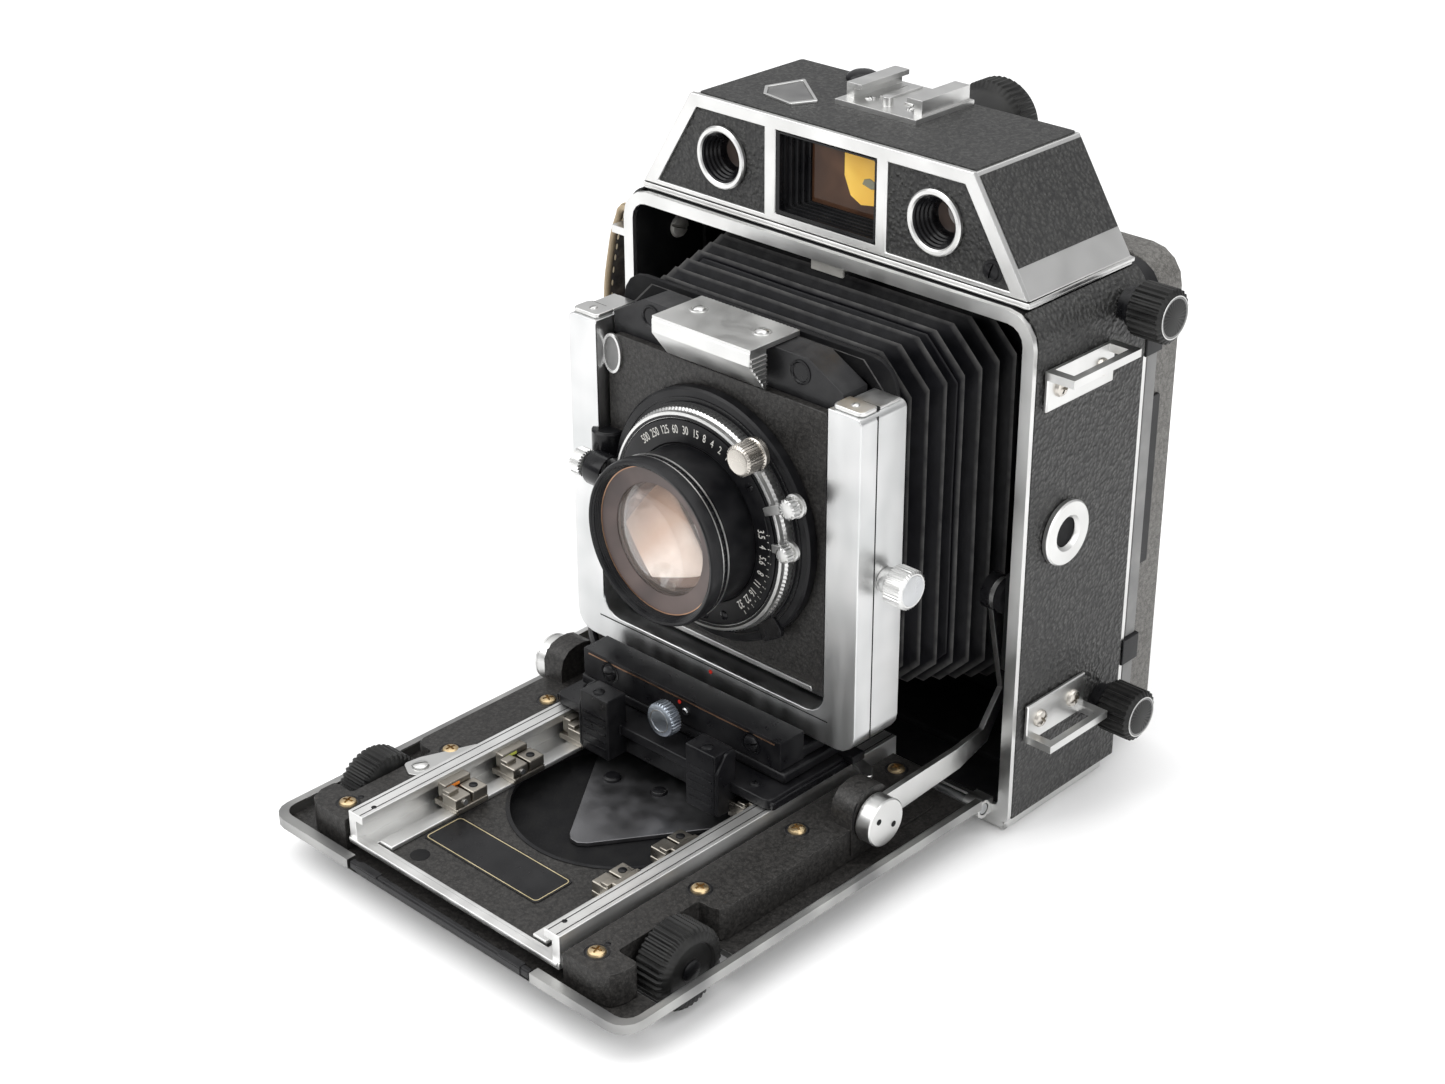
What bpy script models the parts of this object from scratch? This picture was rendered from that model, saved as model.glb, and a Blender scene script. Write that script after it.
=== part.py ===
"""Folding bed camera with a combined rangefinder housing, a drop bed and full front movements.

The lens faces -Y, +X is to the right of someone who faces the lens, and +Z is up. The origin is
the middle of the base plate's lower face. Dimensions are in millimetres and are turned into
metres by the helpers. Pieces that touch keep the clearance GAP.
"""
import math

import bmesh
import bpy
from mathutils import Matrix, Vector

MM = 0.001
GAP = 0.3

# Driving dimensions, in millimetres.
BODY_HALF = 69.9          # half width of the metal body
BODY_FRONT = -22.0
BODY_BACK = 23.6
BODY_BOTTOM = 4.5
BODY_TOP = 149.5
OPENING_HALF = 67.5
OPENING_BOTTOM = 8.5
OPENING_TOP = 146.2
SKIN = 0.9                # leather thickness
LENS_Z = 87.0             # height of the lens axis
BED_HALF = 67.0
BED_FRONT = -162.5
BED_BACK = -30.1
BED_BOTTOM = 8.1
BED_EDGE = 10.2           # lower edge of the bed's upright lip
BED_FLOOR = 9.9
BED_INNER_HALF = 64.9     # inside of the bed's upright lip
BED_INNER_FRONT = -159.6
BED_UNDER_INSET = 4.1     # slope of the bed's underside, all round
COVER_TOP = 19.6
LATCH_LOW = 10.3
LATCH_HIGH = 12.8
CAM_LOW = 10.3
CAM_HIGH = 11.6
BED_LIP = 13.0
HINGE_Y = -26.8           # bed hinge line
HINGE_Z = 8.2
HINGE_LUG_RADIUS = 2.7
HINGE_BORE_RADIUS = 1.8
SHAFT_Y = -134.0          # focusing shaft line
SHAFT_Z = 11.7
KNOB_RADIUS = 11.2
RAIL_BOTTOM = 13.6
RAIL_TOP = 23.1
PLATFORM_TOP = 14.8
STRUT_Y = -64.5           # lower strut pivot on the bed
STRUT_Z = 21.0
STRUT_TOP_Y = -18.5       # upper strut pin in the body
STRUT_TOP_Z = 69.0
STANDARD_FRONT = -64.2
STANDARD_BACK = -47.0
STANDARD_HALF = 51.1
STANDARD_BOTTOM = 35.3
STANDARD_TOP = 130.1
COLUMN_INNER = 40.4
TILT_Y = -55.6            # tilt axis, across the standard's foot
TILT_Z = 39.3
WELL_Y = -97.0            # round well in the focusing platform
CAM_Y = -84.0             # rangefinder cam pivot
HOUSING_BASE_HALF = 65.65
HOUSING_TOP_HALF = 47.3
HOUSING_BASE = 151.3
HOUSING_TOP = 179.8
WINDOW_X = 36.4           # rangefinder windows, one on each side
WINDOW_Y = -21.4
WINDOW_Z = 164.8
FINDER_X = (-17.0, 17.3)  # viewfinder opening in the front plate
FINDER_Z = (154.0, 176.7)
EYE_X = 8.0
EYE_Z = 169.8
THUMBSCREW_Z = 33.6
RISE_KNOB_Y = -54.0
RISE_KNOB_Z = 83.4
SHUTTER_FACE = -69.2
GRIP_X = 22.3             # speed ring grip, from the lens axis
GRIP_Z = 27.3
RELEASE_X = -41.8
RELEASE_Y = -68.5
RELEASE_Z = 90.4
KNOB_BACK_Y = 13.6        # axis of the four back clamp knobs
KNOB_UPPER_Z = 143.0
KNOB_LOWER_Z = 27.6

PARTS = bpy.data.collections.new("folding_camera")
CUTTERS = bpy.data.collections.new("cutters")
AXIS_TURN = {
    "X": Matrix.Rotation(math.pi / 2, 4, "Y"),
    "Y": Matrix.Rotation(math.pi / 2, 4, "X"),
    "Z": Matrix.Identity(4),
}
PLANE_TURN = {
    "XY": Matrix.Identity(4),
    "XZ": Matrix.Rotation(math.pi / 2, 4, "X"),
    "YZ": Matrix(((0, 0, 1, 0), (1, 0, 0, 0), (0, 1, 0, 0), (0, 0, 0, 1))),
}


def clear_scene():
    """Remove what a new file holds."""
    for item in list(bpy.data.objects):
        bpy.data.objects.remove(item, do_unlink=True)
    bpy.context.scene.collection.children.link(PARTS)
    bpy.context.scene.collection.children.link(CUTTERS)


def finish(name, colour, roughness, metallic):
    """A plain Principled material."""
    made = bpy.data.materials.new(name)
    made.use_nodes = True
    shader = made.node_tree.nodes["Principled BSDF"]
    shader.inputs["Base Color"].default_value = (*colour, 1.0)
    shader.inputs["Roughness"].default_value = roughness
    shader.inputs["Metallic"].default_value = metallic
    return made


CHROME = finish("satin_chrome", (0.78, 0.78, 0.77), 0.3, 1.0)
ALUMINIUM = finish("brushed_aluminium", (0.62, 0.63, 0.64), 0.35, 1.0)
HAMMERTONE = finish("hammertone_paint", (0.09, 0.083, 0.078), 0.5, 0.2)
BLACK = finish("black_metal", (0.02, 0.02, 0.022), 0.4, 0.3)
LEATHER = finish("black_leather", (0.03, 0.028, 0.027), 0.6, 0.0)
BELLOWS_CLOTH = finish("bellows_cloth", (0.012, 0.012, 0.018), 0.7, 0.0)
GLASS = finish("coated_glass", (0.45, 0.36, 0.3), 0.05, 0.0)
FROSTED = finish("ground_glass", (0.7, 0.72, 0.7), 0.6, 0.0)
STEEL = finish("steel", (0.5, 0.5, 0.5), 0.35, 1.0)


def add_object(name, mesh, matter, place, is_cutter=False):
    """Link a mesh as an object; a cutter goes to its own collection."""
    made = bpy.data.objects.new(name, mesh)
    made.location = Vector(place) * MM
    if is_cutter:
        CUTTERS.objects.link(made)
        made.hide_render = True
        made.display_type = "WIRE"
    else:
        PARTS.objects.link(made)
        mesh.materials.append(matter)
    return made


def mesh_from(shape, name):
    """Turn a bmesh into a mesh with round faces shaded smooth."""
    bmesh.ops.recalc_face_normals(shape, faces=shape.faces)
    mesh = bpy.data.meshes.new(name)
    shape.to_mesh(mesh)
    shape.free()
    mesh.shade_smooth()
    mesh.set_sharp_from_angle(angle=math.radians(35))
    return mesh


def box(name, x_span, y_span, z_span, matter=None, bevel=0.0):
    """A block between two limits on each axis."""
    spans = (x_span, y_span, z_span)
    size = [(span[1] - span[0]) * MM for span in spans]
    centre = [(span[1] + span[0]) / 2 for span in spans]
    shape = bmesh.new()
    bmesh.ops.create_cube(shape, size=1.0, matrix=Matrix.Diagonal((*size, 1.0)))
    made = add_object(name, mesh_from(shape, name), matter, centre, matter is None)
    if bevel:
        soften(made, bevel)
    return made


def cylinder(name, axis, centre, radius, length, matter=None, sides=28, end_radius=None):
    """A cylinder or cone about a world axis, with its middle at the centre."""
    far = radius if end_radius is None else end_radius
    shape = bmesh.new()
    bmesh.ops.create_cone(shape, cap_ends=True, segments=sides, radius1=radius * MM,
                          radius2=far * MM, depth=length * MM, matrix=AXIS_TURN[axis])
    return add_object(name, mesh_from(shape, name), matter, centre, matter is None)


def turned(name, axis, centre, profile, matter, steps=36, closed=True):
    """A profile of (radius, height) points turned about an axis; an open one starts and ends on it."""
    shape = bmesh.new()
    points = [shape.verts.new((radius * MM, 0.0, height * MM)) for radius, height in profile]
    for first, second in zip(points, points[1:]):
        shape.edges.new((first, second))
    if closed:
        shape.edges.new((points[-1], points[0]))
    mesh = bpy.data.meshes.new(name)
    shape.to_mesh(mesh)
    shape.free()
    made = add_object(name, mesh, matter, centre)
    screw = made.modifiers.new("turn", "SCREW")
    screw.axis = "Z"
    screw.steps = steps
    screw.render_steps = steps
    screw.use_merge_vertices = True
    screw.merge_threshold = 0.00001
    screw.use_smooth_shade = True
    made.rotation_euler = AXIS_TURN[axis].to_euler()
    return made


def rounded(corners, steps=4):
    """An outline whose (u, v, radius) corners are arcs."""
    points = []
    count = len(corners)
    for index, (u, v, radius) in enumerate(corners):
        here = Vector((u, v))
        if radius <= 0:
            points.append(here)
            continue
        before = (Vector(corners[index - 1][:2]) - here).normalized()
        after = (Vector(corners[(index + 1) % count][:2]) - here).normalized()
        half = before.angle(after) / 2
        reach = radius / math.tan(half)
        centre = here + (before + after).normalized() * (radius / math.sin(half))
        start = here + before * reach - centre
        sweep = math.pi - 2 * half
        turn = 1 if before.x * after.y - before.y * after.x < 0 else -1
        for step in range(steps + 1):
            points.append(centre + Matrix.Rotation(turn * sweep * step / steps, 2) @ start)
    return points


def frame_outline(u_low, u_high, v_low, v_high, bottom=0.0, top=0.0, steps=4):
    """A rectangle with its lower and upper corners rounded."""
    corners = [(u_low, v_low, bottom), (u_high, v_low, bottom), (u_high, v_high, top), (u_low, v_high, top)]
    return rounded(corners, steps)


def circle(u, v, radius, sides=24):
    """A round outline."""
    turns = [2 * math.pi * index / sides for index in range(sides)]
    return [Vector((u + radius * math.cos(turn), v + radius * math.sin(turn))) for turn in turns]


def slab(name, plane, low, high, outlines, matter=None):
    """A flat outline with holes, extruded between two heights on the axis across its plane."""
    curve = bpy.data.curves.new(name, "CURVE")
    curve.dimensions = "2D"
    curve.fill_mode = "BOTH"
    curve.extrude = (high - low) / 2 * MM
    for outline in outlines:
        spline = curve.splines.new("POLY")
        spline.points.add(len(outline) - 1)
        spline.use_cyclic_u = True
        for point, corner in zip(spline.points, outline):
            point.co = (corner[0] * MM, corner[1] * MM, 0.0, 1.0)
    guide = bpy.data.objects.new(name + "_outline", curve)
    CUTTERS.objects.link(guide)
    bpy.context.view_layer.update()
    seen = guide.evaluated_get(bpy.context.evaluated_depsgraph_get())
    mesh = bpy.data.meshes.new_from_object(seen)
    bpy.data.objects.remove(guide, do_unlink=True)
    shape = bmesh.new()
    shape.from_mesh(mesh)
    bmesh.ops.remove_doubles(shape, verts=shape.verts, dist=0.000005)
    bmesh.ops.transform(shape, matrix=PLANE_TURN[plane], verts=shape.verts)
    middle = (low + high) / 2
    place = {"XY": (0, 0, middle), "XZ": (0, middle, 0), "YZ": (middle, 0, 0)}[plane]
    mesh.materials.clear()
    return add_object(name, mesh_from(shape, name), matter, place, matter is None)


def taper(name, low, low_outline, high, high_outline, matter=None):
    """A solid between two level outlines that have the same number of corners."""
    shape = bmesh.new()
    rings = []
    for height, outline in ((low, low_outline), (high, high_outline)):
        rings.append([shape.verts.new((corner[0] * MM, corner[1] * MM, height * MM)) for corner in outline])
    shape.faces.new(rings[0])
    shape.faces.new(rings[1])
    for index in range(len(low_outline)):
        after = (index + 1) % len(low_outline)
        shape.faces.new((rings[0][index], rings[0][after], rings[1][after], rings[1][index]))
    return add_object(name, mesh_from(shape, name), matter, (0, 0, 0), matter is None)


def soften(target, width):
    """Bevel the sharp edges by a width."""
    bevel = target.modifiers.new("edge", "BEVEL")
    bevel.width = width * MM
    bevel.segments = 1
    bevel.limit_method = "ANGLE"
    bevel.angle_limit = math.radians(40)


def cut(target, cutter):
    """Take a cutter's shape out of a piece."""
    step = target.modifiers.new("cut", "BOOLEAN")
    step.operation = "DIFFERENCE"
    step.object = cutter
    step.solver = "EXACT"


def join(target, extra):
    """Weld another shape onto a piece."""
    step = target.modifiers.new("join", "BOOLEAN")
    step.operation = "UNION"
    step.object = extra
    step.solver = "EXACT"


def carry(name, axis_point, members):
    """Put an empty on a joint's axis and hang the moving pieces on it."""
    empty = bpy.data.objects.new(name, None)
    empty.location = Vector(axis_point) * MM
    PARTS.objects.link(empty)
    bpy.context.view_layer.update()
    for member in members:
        member.parent = empty
        member.matrix_parent_inverse = empty.matrix_world.inverted()
    return empty


def make_body():
    """The metal body: base plate, shell with its rear wall, front frame with the hinge lugs."""
    box("base_plate", (-69, 69), (-22, 22), (0, BODY_BOTTOM - GAP), CHROME, 0.8)
    outer = frame_outline(-BODY_HALF, BODY_HALF, BODY_BOTTOM, BODY_TOP, 2, 8)
    opening = frame_outline(-OPENING_HALF, OPENING_HALF, OPENING_BOTTOM, OPENING_TOP, 2, 5)
    shell = slab("body_shell", "XZ", BODY_FRONT, BODY_BACK, [outer, opening], BLACK)
    wall = frame_outline(-68.4, 68.4, 7.4, 147.2, 2, 5)
    gate = frame_outline(-46, 46, 40, 132, 3, 3, 2)
    join(shell, slab("rear_wall", "XZ", BODY_BACK - 3, BODY_BACK - 0.2, [wall, gate]))

    rim = frame_outline(-71.0, 71.0, BODY_BOTTOM, BODY_TOP + 0.2, 2, 8.8)
    bezel = slab("front_bezel", "XZ", -23.8, BODY_FRONT - GAP, [rim, opening], CHROME)
    for side in (-1, 1):
        inner, outer_x = sorted((side * 59.8, side * 65.4))
        join(bezel, box("hinge_web", (inner, outer_x), (HINGE_Y, -23.0), (HINGE_Z - 2.4, HINGE_Z + 2.2)))
        join(bezel, cylinder("hinge_lug", "X", (side * 62.6, HINGE_Y, HINGE_Z), HINGE_LUG_RADIUS, 5.6, sides=20))
        cut(bezel, cylinder("hinge_bore", "X", (side * 62.6, HINGE_Y, HINGE_Z), HINGE_BORE_RADIUS, 8, sides=16))
    cylinder("hinge_pin", "X", (0, HINGE_Y, HINGE_Z), 1.5, 130.4, STEEL, 16)

    arc_x = BODY_HALF - 8
    arc_z = BODY_TOP - 8
    for side, label in ((1, "right"), (-1, "left")):
        sweep = [math.radians(60 * step / 5) for step in range(6)]
        inner_radius = 8 + GAP
        outer_radius = inner_radius + SKIN
        turns = [(math.cos(a), math.sin(a)) for a in sweep]
        outside = [(side * (arc_x + outer_radius * c), arc_z + outer_radius * s) for c, s in turns]
        inside = [(side * (arc_x + inner_radius * c), arc_z + inner_radius * s) for c, s in turns]
        lower = [(side * (arc_x + inner_radius), 5.2), (side * (arc_x + outer_radius), 5.2)]
        slab("side_leather_" + label, "XZ", BODY_FRONT, BODY_BACK, [lower + outside + inside[::-1]], LEATHER)
    box("door_catch", (-4, 8), (-20.5, -16), (143, OPENING_TOP - GAP), CHROME, 0.4)
    bush_centre = (arc_x + 8 + 2 * GAP + SKIN + 0.6, -7.3, 86.4)
    bush = cylinder("side_tripod_bush", "X", bush_centre, 9, 1.2, CHROME)
    cut(bush, cylinder("bush_bore", "X", bush_centre, 4.4, 4, sides=20))


def make_brackets():
    """Strap brackets: a screwed plate with a loop standing out, two on each side."""
    face = BODY_HALF + 2 * GAP + SKIN
    for side, label in ((1, "right"), (-1, "left")):
        for level, sign, plate_z, back_y in (("upper", 1, 123.8, 8.4), ("lower", -1, 39.6, 5.6)):
            edge_z = plate_z + sign * 11.0
            plate_span = sorted((plate_z, edge_z))
            x_span = sorted((side * face, side * (face + 1.2)))
            name = "strap_bracket_%s_%s" % (level, label)
            bracket = box(name, x_span, (-19.5, back_y), plate_span, CHROME, 0.3)
            loop_x = sorted((side * (face + 0.2), side * (face + 9.0)))
            loop_z = sorted((edge_z, edge_z - sign * 2.2))
            join(bracket, box("loop", loop_x, (-19.5, back_y), loop_z))
            slot_x = sorted((side * (face + 1.2), side * (face + 6.9)))
            slot_z = sorted((edge_z + sign, edge_z - sign * 4))
            cut(bracket, box("loop_slot", slot_x, (-16.8, back_y - 2.7), slot_z))


def make_housing():
    """Rangefinder and viewfinder housing with its front plate and windows."""
    slope = [(-HOUSING_BASE_HALF, HOUSING_BASE - 0.4), (HOUSING_BASE_HALF, HOUSING_BASE - 0.4),
             (HOUSING_TOP_HALF, HOUSING_TOP), (-HOUSING_TOP_HALF, HOUSING_TOP)]
    housing = slab("rangefinder_housing", "XZ", -18.9, 23.0, [slope], LEATHER)
    hollow = [(-63.5, HOUSING_BASE - 4), (63.5, HOUSING_BASE - 4), (46.4, 178.1), (-46.4, 178.1)]
    cut(housing, slab("housing_hollow", "XZ", -17.2, 21.4, [hollow]))
    flange = [frame_outline(-66.4, 66.4, -20.7, 23.4), frame_outline(-61, 61, -16.5, 20.5)]
    join(housing, slab("housing_flange", "XY", BODY_TOP + 2 * GAP, HOUSING_BASE, flange))
    cut(housing, box("finder_hole", FINDER_X, (-20, -16), FINDER_Z))
    cut(housing, cylinder("ocular_hole", "Y", (EYE_X, 22, EYE_Z), 7, 6, sides=20))
    for side in (-1, 1):
        cut(housing, cylinder("window_hole", "Y", (side * WINDOW_X, -18, WINDOW_Z), 6.8, 6, sides=24))

    base_z = HOUSING_BASE + GAP
    plate = [(-65.9, base_z), (65.9, base_z), (47.7, 180.3), (-47.7, 180.3)]
    holes = [frame_outline(*FINDER_X, *FINDER_Z)]
    for side in (-1, 1):
        hole = [(side * 20.9, 153), (side * 60.3, 153), (side * 45.4, 176.7), (side * 20.9, 176.7)]
        holes.append(hole)
    slab("rangefinder_front_plate", "XZ", -20.8, -18.9 - GAP, [plate] + holes, CHROME)
    for side, label in ((1, "right"), (-1, "left")):
        profile = [(0.0, -7.8), (5.0, -7.8), (5.0, -1.4), (7.2, 0.0), (8.6, 0.0), (8.6, -2.1), (6.4, -2.1),
                   (6.4, -9.0), (0.0, -9.0)]
        turned("rangefinder_window_" + label, "Y", (side * WINDOW_X, WINDOW_Y, WINDOW_Z), profile, CHROME, 28,
               closed=False)
    tunnel = [frame_outline(-16.7, 17.0, 154.3, 176.4), frame_outline(-10.8, 16.2, 157.8, 175.6)]
    slab("viewfinder_frame", "XZ", -20.3, -10.5, tunnel, BLACK)
    box("viewfinder_glass", (-10.5, 15.9), (-14.4, -13.2), (158.1, 175.3), GLASS)

    profile = [(10.4, 12.6), (12.2, 11.8), (12.2, 4.9), (10.4, 4.2), (9.4, -7.4), (5.5, -7.4), (5.5, 12.6)]
    profile = [(radius, -height) for radius, height in profile][::-1]
    turned("eyepiece", "Y", (EYE_X, 30.8, EYE_Z), profile, BLACK)

    shoe = box("accessory_shoe", (-13.2, 14.2), (-2, 21.8), (HOUSING_TOP + GAP, 181.6), CHROME)
    for low, high, lip_low, lip_high in ((-12.2, -9.6, -12.2, -7.2), (10.6, 13.2, 8.2, 13.2)):
        join(shoe, box("shoe_wall", (low, high), (1.5, 21), (181.3, 185.2)))
        join(shoe, box("shoe_lip", (lip_low, lip_high), (1.5, 21), (184.2, 185.6)))
    join(shoe, cylinder("shoe_pin", "Z", (0.5, 3.2, 182.6), 1.5, 2.6, sides=14))


def make_back():
    """Ground glass back with its four clamp knobs and folding hood."""
    outer = frame_outline(-68.4, 68.4, 8.0, 147.0, 4, 9)
    window = frame_outline(-50, 50, 36, 136, 2, 2, 2)
    frame = slab("back_frame", "XZ", BODY_BACK + GAP, 33.6, [outer, window], BLACK)
    rebate = frame_outline(-54.3, 54.3, 31.7, 140.3)
    cut(frame, slab("glass_rebate", "XZ", 30.2, 40, [rebate]))
    glass = box("ground_glass", (-54, 54), (30.5, 32.9), (32, 140), FROSTED)
    hood_outer = frame_outline(-67.5, 67.5, 9, 147.6, 5, 10)
    hood = slab("focusing_hood", "XZ", 33.9, 45.0, [hood_outer], HAMMERTONE)
    cut(hood, slab("hood_hollow", "XZ", 30, 43.2, [frame_outline(-58, 58, 24, 144, 4, 6)]))
    for side, label in ((1, "right"), (-1, "left")):
        for level, height in (("upper", KNOB_UPPER_Z), ("lower", KNOB_LOWER_Z)):
            centre = (side * 79.5, KNOB_BACK_Y, height)
            knob = cylinder("back_knob_%s_%s" % (level, label), "X", centre, 7.2, 13.0, BLACK, 24)
            reach = (side * 72.6, KNOB_BACK_Y, height)
            join(knob, cylinder("knob_collar", "X", reach, 4.6, 1.8, sides=20))
            carry("back_knob_axis", centre, [knob])
    carry("back_slide", (0, BODY_BACK, LENS_Z), [frame, glass])
    carry("hood_hinge", (-67.5, 34.0, LENS_Z), [hood])


def make_strap():
    """Leather hand strap on the left side, bowed out between the two left brackets."""
    face = BODY_HALF + 2 * GAP + SKIN
    length_z = (41.5, 122.0)
    steps = 12
    outside = []
    inside = []
    for step in range(steps + 1):
        part = step / steps
        height = length_z[0] + (length_z[1] - length_z[0]) * part
        bow = 1.6 + 13.0 * math.sin(math.pi * part) ** 0.8
        outside.append((-face - bow - 2.0, height))
        inside.append((-face - bow, height))
    slab("hand_strap", "XZ", -15.5, 5.5, [outside + inside[::-1]], LEATHER)


def make_bellows():
    """Tapered bellows with cut corners, folded between the standard and the rear wall."""
    folds = 9
    wall = 1.2
    front_y = STANDARD_BACK + GAP
    rear_y = BODY_BACK - 3 - GAP
    shape = bmesh.new()
    skins = []
    for inward in (0.0, wall):
        rings = []
        for index in range(2 * folds + 1):
            part = index / (2 * folds)
            y = front_y + (rear_y - front_y) * part
            valley = 5.0 if index % 2 == 0 else 0.0
            half = 46.5 + 13.5 * part - valley - inward
            low = 43.5 - 19.5 * part + valley + inward
            high = 136.5 + 6.5 * part - valley - inward
            chamfer = 9.0
            corners = [(half - chamfer, low), (half, low + chamfer), (half, high - chamfer),
                       (half - chamfer, high)]
            ring = corners + [(-x, z) for x, z in corners[::-1]]
            rings.append([shape.verts.new((x * MM, y * MM, z * MM)) for x, z in ring])
        for first, second in zip(rings, rings[1:]):
            for a in range(8):
                b = (a + 1) % 8
                shape.faces.new((first[a], first[b], second[b], second[a]))
        skins.append(rings)
    for end in (0, -1):
        for a in range(8):
            b = (a + 1) % 8
            shape.faces.new((skins[0][end][a], skins[0][end][b], skins[1][end][b], skins[1][end][a]))
    add_object("bellows", mesh_from(shape, "bellows"), BELLOWS_CLOTH, (0, 0, 0))


def make_struts():
    """Bed struts: a strap from a pivot disc on the bed to a pin in a slot plate in the body."""
    for side, label in ((1, "right"), (-1, "left")):
        x_span = sorted((side * 64.6, side * 67.1))
        guide = box("strut_guide_" + label, x_span, (-21.8, -12), (49, 77), BLACK)
        cut(guide, box("guide_slot", sorted((side * 60, side * 69)), (-21.0, -16.0), (53.0, 72.0)))
        lower = [(-67.0, 18.6), (-31.0, 20.6), (-19.6, 23.8), (-11.2, 36.8), (-15.8, 66.6), (-16.3, 71.2)]
        upper = [(-20.7, 71.2), (-20.6, 66.6), (-14.2, 38.2), (-21.6, 28.4), (-32.6, 27.2), (-62.6, 26.6)]
        low_x, high_x = sorted((side * 58.2, side * 59.8))
        strut = slab("strut_" + label, "YZ", low_x, high_x, [lower + upper], CHROME)
        join(strut, cylinder("strut_disc", "X", (side * 60.2, STRUT_Y, STRUT_Z), 6.7, 4.2, sides=28))
        join(strut, cylinder("strut_pivot", "X", (side * 56.2, STRUT_Y, STRUT_Z), 2.0, 6.0, sides=14))
        join(strut, cylinder("strut_head", "X", (side * 61.4, STRUT_TOP_Y, STRUT_TOP_Z), 4.6, 5.6, sides=20))
        join(strut, cylinder("strut_pin", "X", (side * 65.4, STRUT_TOP_Y, STRUT_TOP_Z), 2.0, 3.0, sides=14))
        carry("strut_pivot_" + label, (side * 58, STRUT_Y, STRUT_Z), [strut])


def make_bed():
    """Drop bed: tray, side covers, latch, tripod plate and the rangefinder cam in its well."""
    outline = rounded([(-BED_HALF, BED_BACK, 0), (-BED_HALF, BED_FRONT, 6), (BED_HALF, BED_FRONT, 6),
                       (BED_HALF, BED_BACK, 0)])
    tray = slab("bed_tray", "XY", BED_EDGE, BED_LIP, [outline], ALUMINIUM)
    under_half = BED_HALF - BED_UNDER_INSET
    under_front = BED_FRONT + BED_UNDER_INSET
    under = rounded([(-under_half, BED_BACK, 0), (-under_half, under_front, 4), (under_half, under_front, 4),
                     (under_half, BED_BACK, 0)])
    join(tray, taper("tray_under", BED_BOTTOM, under, BED_EDGE + 0.01, outline))
    hollow = rounded([(-BED_INNER_HALF, -20, 0), (-BED_INNER_HALF, BED_INNER_FRONT, 4),
                      (BED_INNER_HALF, BED_INNER_FRONT, 4), (BED_INNER_HALF, -20, 0)])
    cut(tray, slab("tray_hollow", "XY", BED_FLOOR, 20, [hollow]))
    cut(tray, box("latch_notch", (-34.5, 34.5), (-166, -155), (LATCH_LOW - GAP, 20)))
    for side in (-1, 1):
        slot_x = sorted((side * 50.0, side * 62.6))
        cut(tray, box("knob_slot", slot_x, (SHAFT_Y - 13, SHAFT_Y + 13), (0, 11)))
        web_x = sorted((side * 30, side * 48))
        join(tray, box("tray_web", web_x, (BED_BACK - 2.5, HINGE_Y), (HINGE_Z - 0.8, BED_FLOOR)))
        join(tray, cylinder("tray_barrel", "X", (side * 39, HINGE_Y, HINGE_Z), HINGE_LUG_RADIUS, 18, sides=20))
        cut(tray, cylinder("tray_bore", "X", (side * 39, HINGE_Y, HINGE_Z), HINGE_BORE_RADIUS, 22, sides=16))
    latch = box("bed_latch", (-34.0, 34.0), (-162.2, -160.4), (LATCH_LOW, LATCH_HIGH), BLACK, 0.3)
    box("bed_tripod_plate", (-22, 22), (-118, -74), (0, BED_BOTTOM - GAP), CHROME, 0.8)

    for side, label in ((1, "right"), (-1, "left")):
        corners = [(41.0, -157.4, 0), (57.0, -157.4, 5), (57.0, -147.8, 1), (50.0, -147.8, 1),
                   (50.0, -120.2, 1), (57.0, -120.2, 3), (57.0, -36.0, 3), (41.0, -36.0, 0)]
        points = rounded([(side * x, y, radius) for x, y, radius in corners], 2)
        cover = slab("bed_cover_" + label, "XY", BED_FLOOR + GAP, COVER_TOP, [points], HAMMERTONE)
        cut(cover, cylinder("shaft_bore", "X", (side * 45, SHAFT_Y, SHAFT_Z), 1.9, 20, sides=16))
        cut(cover, box("strut_bay", sorted((side * 52.0, side * 70)), (-57.8, -30), (BED_FLOOR + 1, 40)))
        post_x = sorted((side * 50.5, side * 57.6))
        post = rounded([(STRUT_Y - 7.5, 12, 0), (STRUT_Y + 6.5, 12, 0), (STRUT_Y + 6.5, 29.5, 5),
                        (STRUT_Y - 7.5, 29.5, 6)], 3)
        join(cover, slab("strut_post", "YZ", post_x[0], post_x[1], [post]))
        cut(cover, cylinder("pivot_bore", "X", (side * 56, STRUT_Y, STRUT_Z), 2.3, 7, sides=16))

    corners = [(0, -118.5, 4), (27, -80, 4), (19, -71.5, 4), (-19, -71.5, 4), (-27, -80, 4)]
    fan = [rounded(corners, 3), circle(0, CAM_Y, 2.3, 16)]
    cam = slab("rangefinder_cam", "XY", CAM_LOW, CAM_HIGH, fan, STEEL)
    pin = cylinder("cam_pin", "Z", (0, CAM_Y, CAM_LOW + GAP), 2.0, 3.4, sides=16)
    join(tray, pin)
    carry("cam_pivot", (0, CAM_Y, 11), [cam])
    carry("latch_slide", (0, -161, 11.5), [latch])


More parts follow.
